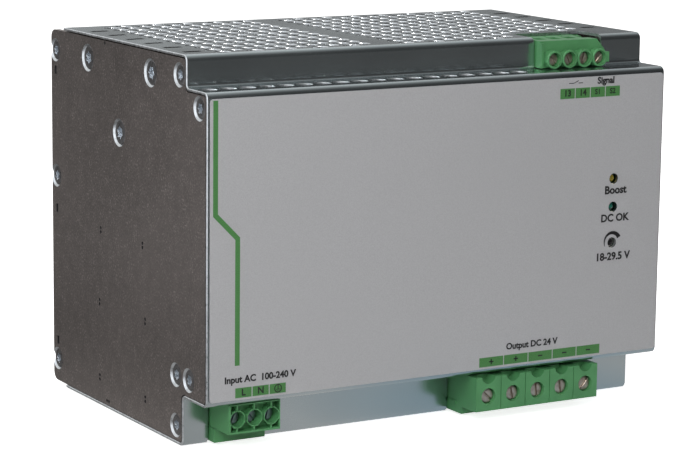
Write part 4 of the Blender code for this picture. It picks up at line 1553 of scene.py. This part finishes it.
@dataclass(frozen=True)
class ClampScrews:
    """The clamp screws of a terminal, one at each pole."""

    face: float
    z: float
    radius: float
    turns: tuple[float, ...]
    slot: float = 0.85
    finish: Finish = NICKEL

    def build(self, poles: Poles, terminal: str, body: str) -> None:
        """Makes the screws, each on its own body.

        Args:
            poles: The terminal's poles.
            terminal: The terminal's name in the screws' names.
            body: Its name in the frame.
        """
        for number, (x, turn) in enumerate(zip(poles.places(), self.turns), 1):
            screw = slotted_screw(
                (x, self.face, self.z), self.radius, turn, self.slot, self.finish
            )
            ridden = f"{body}_screw_{number}"
            name = f"{terminal}_clamp_screw_{number}"
            place_piece(screw, name, ridden, [ridden])


@dataclass
class InputTerminal:
    """Three-pole mains plug in its header."""

    poles: Poles = field(default_factory=lambda: Poles(19.4, 6.35, 3))
    front: float = 3.7
    rear: float = 17.6
    bottom: float = 6.0
    top: float = 16.0
    screw_z: float = 10.9
    screws: ClampScrews = ClampScrews(7.3, 10.9, 2.3, (25.0, -35.0, 15.0), 0.6, ZINC_SCREW)

    def build(self) -> None:
        """Makes the plug, its screws, the header and its pins."""
        self.build_plug()
        self.screws.build(self.poles, "mains", "input")
        self.build_header()

    def build_plug(self) -> None:
        """A shell with three eight-sided cups held by thin webs."""
        left, right = self.poles.ends()
        xs, z = self.poles.places(), self.screw_z
        plug = block((left, self.front, self.bottom), (right, self.rear, self.top), GREEN)
        pocket_front, pocket_rear = self.front - REACH, self.front + 3.2
        cut(
            plug,
            block(
                (left + 0.75, pocket_front, self.bottom + 0.7),
                (right - 0.35, pocket_rear, self.top - 0.45),
                GREEN,
            ),
        )
        rib_low, rib_high = self.bottom + 0.3, self.top - 0.2
        cup_rear = pocket_rear + 0.5
        for x in xs:
            join(
                plug,
                block(
                    (x - 0.3, self.front + 0.25, rib_low),
                    (x + 0.3, pocket_rear + 0.4, rib_high),
                    GREEN,
                ),
                lathe(rod(self.front, cup_rear, 3.12), (x, 0, z), Axis.Y, GREEN, 8, math.pi / 8),
            )
        well = [
            (self.front - REACH, 0),
            (self.front - REACH, 2.72),
            (self.front + 0.25, 2.62),
            (self.front + 6.0, 2.5),
            (self.front + 6.0, 0),
        ]
        cut(plug, lathes(well, [(x, 0, z) for x in xs], Axis.Y, GREEN, 28))
        wire_rear = 13.9
        # The wire pockets take black on their walls: painted shade.
        for x in xs:
            cut(
                plug,
                block(
                    (x - 1.9, wire_rear - 3.8, self.bottom - REACH),
                    (x + 1.9, wire_rear, z + 1.9),
                    BLACK_AND_PAINTED_SHADE,
                ),
            )
        tail = block(
            (left + 1.4, self.rear - REACH, self.bottom + 1.4),
            (right - 1.4, self.rear + 8, self.top - 1.4),
            GREEN,
        )
        join(plug, tail)
        # The rear pin openings take black on their walls: painted shade.
        for x in xs:
            low = (x - 1.1, self.rear + 3, z - 0.8)
            cut(plug, block(low, (x + 1.1, self.rear + 9, z + 0.8), BLACK_AND_PAINTED_SHADE))
        soften(plug, 0.14)
        place_piece(plug, "mains_plug", "input_plug", ["input_plug"])

    def build_header(self) -> None:
        """The fixed half: a foot under the plug and a socket behind it, with three pins."""
        left, right = self.poles.ends()
        header = block((left, 14.2, 0.9), (right, 31.0, self.bottom - GAP), GREEN)
        join(header, block((left, self.rear + GAP, 1.4), (right, 31.0, self.top), GREEN))
        cut(
            header,
            block(
                (left + 1.1, self.rear - REACH, self.bottom + 1.1),
                (right - 1.1, self.rear + 8.3, self.top - 1.1),
                GREEN,
            ),
        )
        soften(header, 0.2)
        place_piece(header, "mains_header", "chassis", ["input_header"])
        pins = [
            block(
                (x - 0.5, self.rear + 3.6, self.screw_z - 0.4),
                (x + 0.5, self.rear + 9.5, self.screw_z + 0.4),
                PLATED,
                0.12,
            )
            for x in self.poles.places()
        ]
        place_piece(merged(pins), "mains_pins", "chassis")


@dataclass
class OutputTerminal:
    """Five-pole output block, fixed on the board."""

    poles: Poles = field(default_factory=lambda: Poles(129.0, 10.16, 5))
    rear: float = 31.0
    bottom: float = 3.5
    top: float = 16.0
    front_top: float = 15.5
    screw_z: float = 8.7
    screws: ClampScrews = ClampScrews(1.0, 8.7, 2.5, (-48.0, -12.0, -6.0, -10.0, 38.0))
    seam: float = 0.28  # width of the groove between poles

    def build(self) -> None:
        """Makes the block and its screws."""
        self.build_block()
        self.screws.build(self.poles, "output", "output")

    def build_block(self) -> None:
        """A block with a notch, a well and a wire pocket at each pole."""
        left, right = self.poles.ends()
        xs = self.poles.places()
        outline = [
            (0.0, self.bottom),
            (0.0, self.front_top - 0.3),
            (0.3, self.front_top),
            (9.0, self.front_top),
            (9.0, self.top),
            (self.rear, self.top),
            (self.rear, 0.9),
            (9.3, 0.9),
            (9.3, self.bottom),
        ]
        body = prism(outline, Axis.X, left, right, GREEN)
        notch = [(-REACH, 0), (-REACH, 2.75), (0, 2.75), (5.0, 2.55), (5.0, 0)]
        well = [(-REACH, 0), (-REACH, 2.95), (0.12, 2.82), (3.2, 2.7), (3.2, 0)]
        cut(
            body,
            lathes(notch, [(x, 0, self.front_top + 0.35) for x in xs], Axis.Y, GREEN, 28),
            lathes(well, [(x, 0, self.screw_z) for x in xs], Axis.Y, GREEN, 32),
        )
        for x in xs:
            cut(body, block((x - 3.6, 4.2, self.bottom - REACH), (x + 3.6, 9.0, 12.6), GREEN))
        floor = self.front_top - 0.3
        groove = [(-REACH, 0), (0.3, 0), (0.3, floor), (9, floor), (9, 17), (-REACH, 17)]
        for x in xs[:-1]:
            middle, half = x + self.poles.pitch / 2, self.seam / 2
            cut(body, prism(groove, Axis.X, middle - half, middle + half, GREEN))
        join(body, block((left - 0.5, 12.5, 3.9), (left + 0.5, 16.5, 4.9), GREEN))
        soften(body, 0.13)
        place_piece(body, "output_terminal", "chassis", ["output_block"])
        cages = []
        for x in xs:
            cage = block((x - 3.3, 4.5, 5.0), (x + 3.3, 8.7, 12.2), PLATED, 0.3)
            cages.append(cut(cage, block((x - 2.5, 5.0, 3.0), (x + 2.5, 8.2, 10.5), PLATED)))
        place_piece(merged(cages), "output_clamps", "chassis")


@dataclass
class SignalTerminal:
    """Four-pole signal plug on the upper ledge, and its header inside."""

    poles: Poles = field(default_factory=lambda: Poles(148.6, 6.35, 4))
    cup_front: float = 8.8
    face: float = 11.9
    rear: float = 27.6
    bottom: float = 119.7
    top: float = 129.0
    screw_z: float = 122.7
    screws: ClampScrews = ClampScrews(10.3, 122.7, 2.1, (-38.0, -30.0, 12.0, 40.0), 0.6)
    half: float = 13.7  # of the plug's width

    def build(self) -> None:
        """Makes the plug, its screws and the header."""
        self.build_plug()
        self.screws.build(self.poles, "signal", "signal")
        self.build_header()

    def build_plug(self) -> None:
        """A body with four round cups in front and wire openings in its top."""
        left, right = self.poles.centre - self.half, self.poles.centre + self.half
        xs, z = self.poles.places(), self.screw_z
        outline = [
            (left, self.bottom),
            (right - 1.2, self.bottom),
            (right, self.bottom + 1.6),
            (right, self.bottom + 5.2),
            (right - 3.6, self.top),
            (left, self.top),
        ]
        plug = prism(outline, Axis.Y, self.face, self.rear, GREEN)
        cups = []
        for x in xs:
            profile = [
                (self.cup_front, 0),
                (self.cup_front, 2.98),
                (self.cup_front + 0.2, 3.14),
                (self.face + REACH, 3.14),
                (self.face + REACH, 0),
            ]
            cups.append(lathe(profile, (x, 0, z), Axis.Y, GREEN, 32))
        front, back = self.cup_front, self.face + REACH
        bar = block((xs[0], front + 0.5, z - 1.1), (xs[-1], back, z + 1.1), GREEN)
        end = block((xs[-1], front + 0.35, z - 1.6), (right - 0.1, back, z + 1.9), GREEN)
        pillar = block(
            (left, self.face - 0.9, self.bottom), (left + 0.9, back, self.top - 0.7), GREEN
        )
        join(plug, bar, end, pillar, *cups)
        well = [
            (self.cup_front - REACH, 0),
            (self.cup_front - REACH, 2.55),
            (self.cup_front + 0.2, 2.47),
            (self.cup_front + 4.2, 2.4),
            (self.cup_front + 4.2, 0),
        ]
        cut(plug, lathes(well, [(x, 0, z) for x in xs], Axis.Y, GREEN, 28))
        above = self.top + REACH
        for x in xs:
            cut(plug, block((x - 1.9, 17.0, self.top - 8), (x + 1.9, 21.6, above), GREEN))
            cut(plug, block((x - 0.6, 23.2, self.top - 1.2), (x + 0.6, 25.6, above), GREEN))
        tail = block(
            (left + 1.4, self.rear - REACH, self.bottom + 1.4),
            (right - 1.4, self.rear + 8, 126.3),
            GREEN,
        )
        join(plug, tail)
        soften(plug, 0.15)
        place_piece(plug, "signal_connector", "signal_plug", ["signal_plug"])

    def build_header(self) -> None:
        """The fixed half under the top sheet."""
        left, right = self.poles.centre - self.half, self.poles.centre + self.half
        header = block((left, self.rear + GAP, self.bottom), (right, 38.0, 128.7), GREEN, 0.2)
        cut(
            header,
            block(
                (left + 1.1, self.rear - REACH, self.bottom + 1.1),
                (right - 1.1, self.rear + 8.3, 126.6),
                GREEN,
            ),
        )
        place_piece(header, "signal_socket", "chassis", ["signal_header"])


# Lamps and trimmer


@dataclass
class Controls:
    """Two lamps and the trimmer behind the front panel."""

    lamps: tuple[tuple[str, float, Finish], ...] = (
        ("boost_lamp", LAMP_HEIGHTS[0], AMBER),
        ("output_lamp", LAMP_HEIGHTS[1], EMERALD),
    )
    lens_front: float = 0.9
    lens_rear: float = 11.7
    lens_radius: float = 1.45
    slot_half: tuple[float, float] = (1.05, 0.3)  # of the rotor's cross: length and width
    slot_rear: float = 2.3

    def build(self) -> None:
        """Makes both lenses and the rotor."""
        front, rear, radius = self.lens_front, self.lens_rear, self.lens_radius
        angles = [math.pi / 2 * step / 6 for step in range(7)]
        dome = [(front + radius * (1 - math.cos(a)), radius * math.sin(a)) for a in angles]
        for name, z, finish in self.lamps:
            profile = dome + [(rear, radius), (rear, 0)]
            lens = lathe(profile, (CONTROL_X, 0, z), Axis.Y, finish, 28)
            place_piece(lens, f"{name}_lens", "chassis", [name])
        profile = [(1.45, 0), (1.45, 1.25), (1.6, 1.45), (5.1, 1.5), (5.1, 0)]
        centre = (CONTROL_X, 0, TRIMMER_HEIGHT)
        rotor = lathe(profile, centre, Axis.Y, IVORY, 28)
        # The rotor's round recess and its cross slot take black on their walls: painted shade.
        cut(rotor, lathe(rod(0, 1.8, 1.34), centre, Axis.Y, BLACK_AND_PAINTED_SHADE, 24))
        for half_x, half_z in (self.slot_half, self.slot_half[::-1]):
            low = (CONTROL_X - half_x, 0, TRIMMER_HEIGHT - half_z)
            high = (CONTROL_X + half_x, self.slot_rear, TRIMMER_HEIGHT + half_z)
            cut(rotor, block(low, high, BLACK_AND_PAINTED_SHADE))
        place_piece(
            rotor, "trimmer_knob", "trimmer_rotor", ["trimmer_rotor"]
        )


# Interior and rail fixing


@dataclass
class Interior:
    """Boards and components glimpsed through the vents, kept from the frame and given looks."""

    finishes: dict[str, Finish] = field(
        default_factory=lambda: {
            "rear_plate": SIDE_STEEL,
            "main_board": BOARD,
            "control_board": BOARD,
            "bulk_capacitor_1": SLEEVE,
            "bulk_capacitor_2": SLEEVE,
            "output_capacitor_1": SLEEVE,
            "output_capacitor_2": SLEEVE,
            "main_transformer": FERRITE,
            "output_choke": COPPER,
            "line_choke": COPPER,
            "primary_heat_sink": ALUMINIUM,
            "secondary_heat_sink": ALUMINIUM,
            "mains_fuse": FUSE,
            "signal_relay": BLACK_AND_PAINTED_SHADE,
            "trimmer_body": BLACK_AND_PAINTED_SHADE,
            "rail_bracket": ALUMINIUM,
            "rail_latch": PLATED,
            "bracket_screw_1": PLATED,
            "bracket_screw_2": PLATED,
        }
    )

    edge: float = 0.00025  # width of the soft edges, in metres

    def build(self, nodes: dict[str, bpy.types.Object]) -> None:
        """Gives each kept node its finish and soft edges.

        Args:
            nodes: The frame's nodes by name.
        """
        for name, finish in self.finishes.items():
            node = nodes[name]
            node.data.materials.clear()
            node.data.materials.append(finish.material())
            edge = node.modifiers.new("soft edges", "BEVEL")
            edge.width = self.edge
            edge.segments = 2
            edge.limit_method = "ANGLE"
            edge.angle_limit = SMOOTH_ANGLE
            LOG.info("%s kept, finished as %s", name, finish.name)


@dataclass
class LatchSpring:
    """Coil spring between the bracket's peg and the latch."""

    radius: float = 2.0
    wire: float = 0.4
    turns: int = 6
    sides: int = 24
    low: float = 24.2
    high: float = 36.8
    x: float = 90.0
    y: float = 116.9

    def build(self) -> None:
        """Makes the coil."""
        curve = bpy.data.curves.new("coil", "CURVE")
        curve.dimensions = "3D"
        curve.bevel_depth = self.wire
        curve.bevel_resolution = 3
        curve.use_fill_caps = True
        line = curve.splines.new("POLY")
        count = self.turns * self.sides
        line.points.add(count)
        for index, point in enumerate(line.points):
            angle = 2 * math.pi * index / self.sides
            point.co = (
                self.x + self.radius * math.cos(angle),
                self.y + self.radius * math.sin(angle),
                self.low + (self.high - self.low) * index / count,
                1,
            )
        coil = drawn(curve, SPRING)
        place_piece(coil, "latch_coil", "chassis", ["latch_spring"])
        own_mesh(coil)


# Studio


@dataclass(frozen=True)
class Softbox:
    """A large soft light."""

    name: str
    place: Point
    target: Point
    size: Point
    power: float
    mirrored: bool = False  # only seen in shiny surfaces, instead of only lighting dull ones


@dataclass
class Studio:
    """Floor, surroundings, lights and camera."""

    boxes: tuple[Softbox, ...] = (
        Softbox("key", (-0.5, -0.66, 0.5), (0, -0.1, 0), (0.5, 0.5), 6.1),
        Softbox("fill", (0.9, -1.2, 0.5), (0, -0.06, 0), (0.9, 0.9), 1.2),
        Softbox("top", (-0.3, 0.6, 1.6), (0, -0.06, 0.05), (1.2, 0.8), 10.0),
        Softbox("spark", (-0.35, -0.75, 0.7), (0, -0.06, 0.05), (0.16, 0.16), 10.0, mirrored=True),
    )
    paper_centre: Point = (0.04, -0.12, 0.0)  # of the bright paper that the object mirrors
    paper_reach: float = 0.1
    paper_fade: float = 0.16
    paper_value: float = 0.6
    shaded_paper: Colour = (0.34, 0.45, 0.52)  # close to the object
    floor_glow: float = 0.82
    ambient: float = 0.36
    left_wall: Colour = (1.5, 1.55, 1.62)
    # What metal mirrors in front and behind, from just below the horizon up to overhead.
    front: tuple[Point, ...] = ((0.0, 0.11), (0.4, 0.08), (0.72, 0.1), (0.9, 0.4), (1.0, 0.5))
    rear: tuple[Point, ...] = ((0.0, 0.22), (0.25, 0.22), (0.33, 0.34), (0.42, 1.0), (0.7, 1.0))
    camera_place: Point = (-0.4579, -0.8426, 0.1584)
    camera_turn: Point = (1.3929, -0.0119, -0.5279)
    camera_lens: float = 131.993

    def build(self) -> None:
        """Sets up everything round the object."""
        scene = bpy.context.scene
        scene.view_settings.view_transform = "Standard"
        self.build_floor()
        self.build_world()
        for box in self.boxes:
            self.build_light(box)
        self.build_camera()

    def build_floor(self) -> None:
        """A plain pale floor at the casing's base."""
        shape = bmesh.new()
        bmesh.ops.create_grid(
            shape, x_segments=2, y_segments=2, size=6, matrix=Matrix.Translation((0, 0, -0.0625))
        )
        mesh = bpy.data.meshes.new("floor")
        shape.to_mesh(mesh)
        shape.free()
        floor = bpy.data.objects.new("floor", mesh)
        bpy.context.scene.collection.objects.link(floor)
        net = Network("floor")
        net.colour(net.blend(net.span(net.noise(300, 2), 0, 1), (0.93,) * 3, (0.96,) * 3))
        net.constant({"Roughness": 0.9, "Specular IOR Level": 0.0})
        distance = net.nodes.new("ShaderNodeVectorMath")
        distance.operation = "DISTANCE"
        distance.inputs[1].default_value = self.paper_centre
        net.links.new(net.place, distance.inputs[0])
        far = self.paper_reach + self.paper_fade
        near = net.span(distance.outputs["Value"], 1, 0, self.paper_reach, far)
        split = net.nodes.new("ShaderNodeSeparateXYZ")
        net.links.new(net.place, split.inputs["Vector"])
        beyond = net.span(split.outputs["Y"], self.front[0][1], self.rear[0][1], -0.2, 0.2)
        left = net.total(
            net.span(split.outputs["X"], 0, 1, -0.2, -0.35),
            net.span(split.outputs["Y"], 0, 1, 0.3, 0.15),
            "MULTIPLY",
        )
        paper = net.blend(
            net.span(distance.outputs["Value"], 0, 1, 0.06, 0.1),
            self.shaded_paper,
            (self.paper_value,) * 3,
        )
        shine = net.blend(near, beyond, paper)
        shine = net.blend(left, shine, self.left_wall)
        seen = net.nodes.new("ShaderNodeLightPath")
        mirrored = net.nodes.new("ShaderNodeEmission")
        net.links.new(shine, mirrored.inputs["Color"])
        glow = net.nodes.new("ShaderNodeEmission")
        glow.inputs["Strength"].default_value = self.floor_glow
        lit = net.nodes.new("ShaderNodeAddShader")
        net.links.new(net.shader.outputs[0], lit.inputs[0])
        net.links.new(glow.outputs[0], lit.inputs[1])
        by_camera = net.nodes.new("ShaderNodeMixShader")
        net.links.new(seen.outputs["Is Camera Ray"], by_camera.inputs[0])
        net.links.new(net.shader.outputs[0], by_camera.inputs[1])
        net.links.new(lit.outputs[0], by_camera.inputs[2])
        by_gloss = net.nodes.new("ShaderNodeMixShader")
        net.links.new(seen.outputs["Is Glossy Ray"], by_gloss.inputs[0])
        net.links.new(by_camera.outputs[0], by_gloss.inputs[1])
        net.links.new(mirrored.outputs[0], by_gloss.inputs[2])
        net.links.new(by_gloss.outputs[0], net.nodes["Material Output"].inputs["Surface"])
        mesh.materials.append(net.material)

    def build_world(self) -> None:
        """An even dim tent, white to the camera, which metal mirrors as dark low in front."""
        world = bpy.data.worlds.new("tent")
        bpy.context.scene.world = world
        world.use_nodes = True
        net = Nodes(world.node_tree)
        place = net.nodes.new("ShaderNodeTexCoord").outputs["Generated"]
        split = net.nodes.new("ShaderNodeSeparateXYZ")
        net.links.new(place, split.inputs["Vector"])
        x, y, z = (split.outputs[name] for name in "XYZ")
        height = net.span(z, 0, 1, -0.2, 1)
        front, rear = (
            net.ramp(height, [(at, (value, value * 1.02, value * 1.03)) for at, value in stops])
            for stops in (self.front, self.rear)
        )
        mirrored = net.blend(net.span(y, 0, 1, -0.2, 0.4), front, rear)
        dimmed = net.blend(net.span(x, 0, 1, 0.38, 0.9), mirrored, (0.0, 0.0, 0.0))
        left = net.total(
            net.span(x, 0, 1, -0.5, -0.75), net.span(y, 0, 1, 0.5, 0.2), "MULTIPLY"
        )
        lightened = net.blend(left, dimmed, self.left_wall)
        seen = net.nodes.new("ShaderNodeLightPath")
        unseen = net.blend(seen.outputs["Is Glossy Ray"], (self.ambient,) * 3, lightened)
        shown = net.blend(seen.outputs["Is Camera Ray"], unseen, (1, 1, 1))
        net.links.new(shown, net.nodes["Background"].inputs["Color"])

    def build_light(self, box: Softbox) -> None:
        """Adds an area light that points at its target.

        Args:
            box: The light.
        """
        light = bpy.data.lights.new(box.name, "AREA")
        light.shape = "RECTANGLE"
        light.size, light.size_y = box.size
        light.energy = box.power
        lamp = bpy.data.objects.new(box.name, light)
        lamp.visible_glossy = box.mirrored
        lamp.visible_diffuse = not box.mirrored
        bpy.context.scene.collection.objects.link(lamp)
        lamp.location = box.place
        lamp.rotation_euler = (
            (Vector(box.target) - Vector(box.place)).to_track_quat("-Z", "Y").to_euler()
        )

    def build_camera(self) -> None:
        """The camera, a little above the object and to its left."""
        data = bpy.data.cameras.new("camera")
        data.lens = self.camera_lens
        data.sensor_width = 36
        data.clip_start, data.clip_end = 0.05, 30
        camera = bpy.data.objects.new("camera", data)
        bpy.context.scene.collection.objects.link(camera)
        camera.location = self.camera_place
        camera.rotation_euler = self.camera_turn
        bpy.context.scene.camera = camera


def main() -> None:
    """Builds the looks round the frame."""
    logging.basicConfig(level=logging.INFO, format="%(name)s: %(message)s")
    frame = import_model()
    steps: list[Callable[[], None]] = [
        Casing().build,
        FrontLabel().build,
        InputTerminal().build,
        OutputTerminal().build,
        SignalTerminal().build,
        Controls().build,
        lambda: Interior().build(frame["nodes"]),
        LatchSpring().build,
        Studio().build,
    ]
    for step in steps:
        step()


if __name__ == "__main__":
    main()
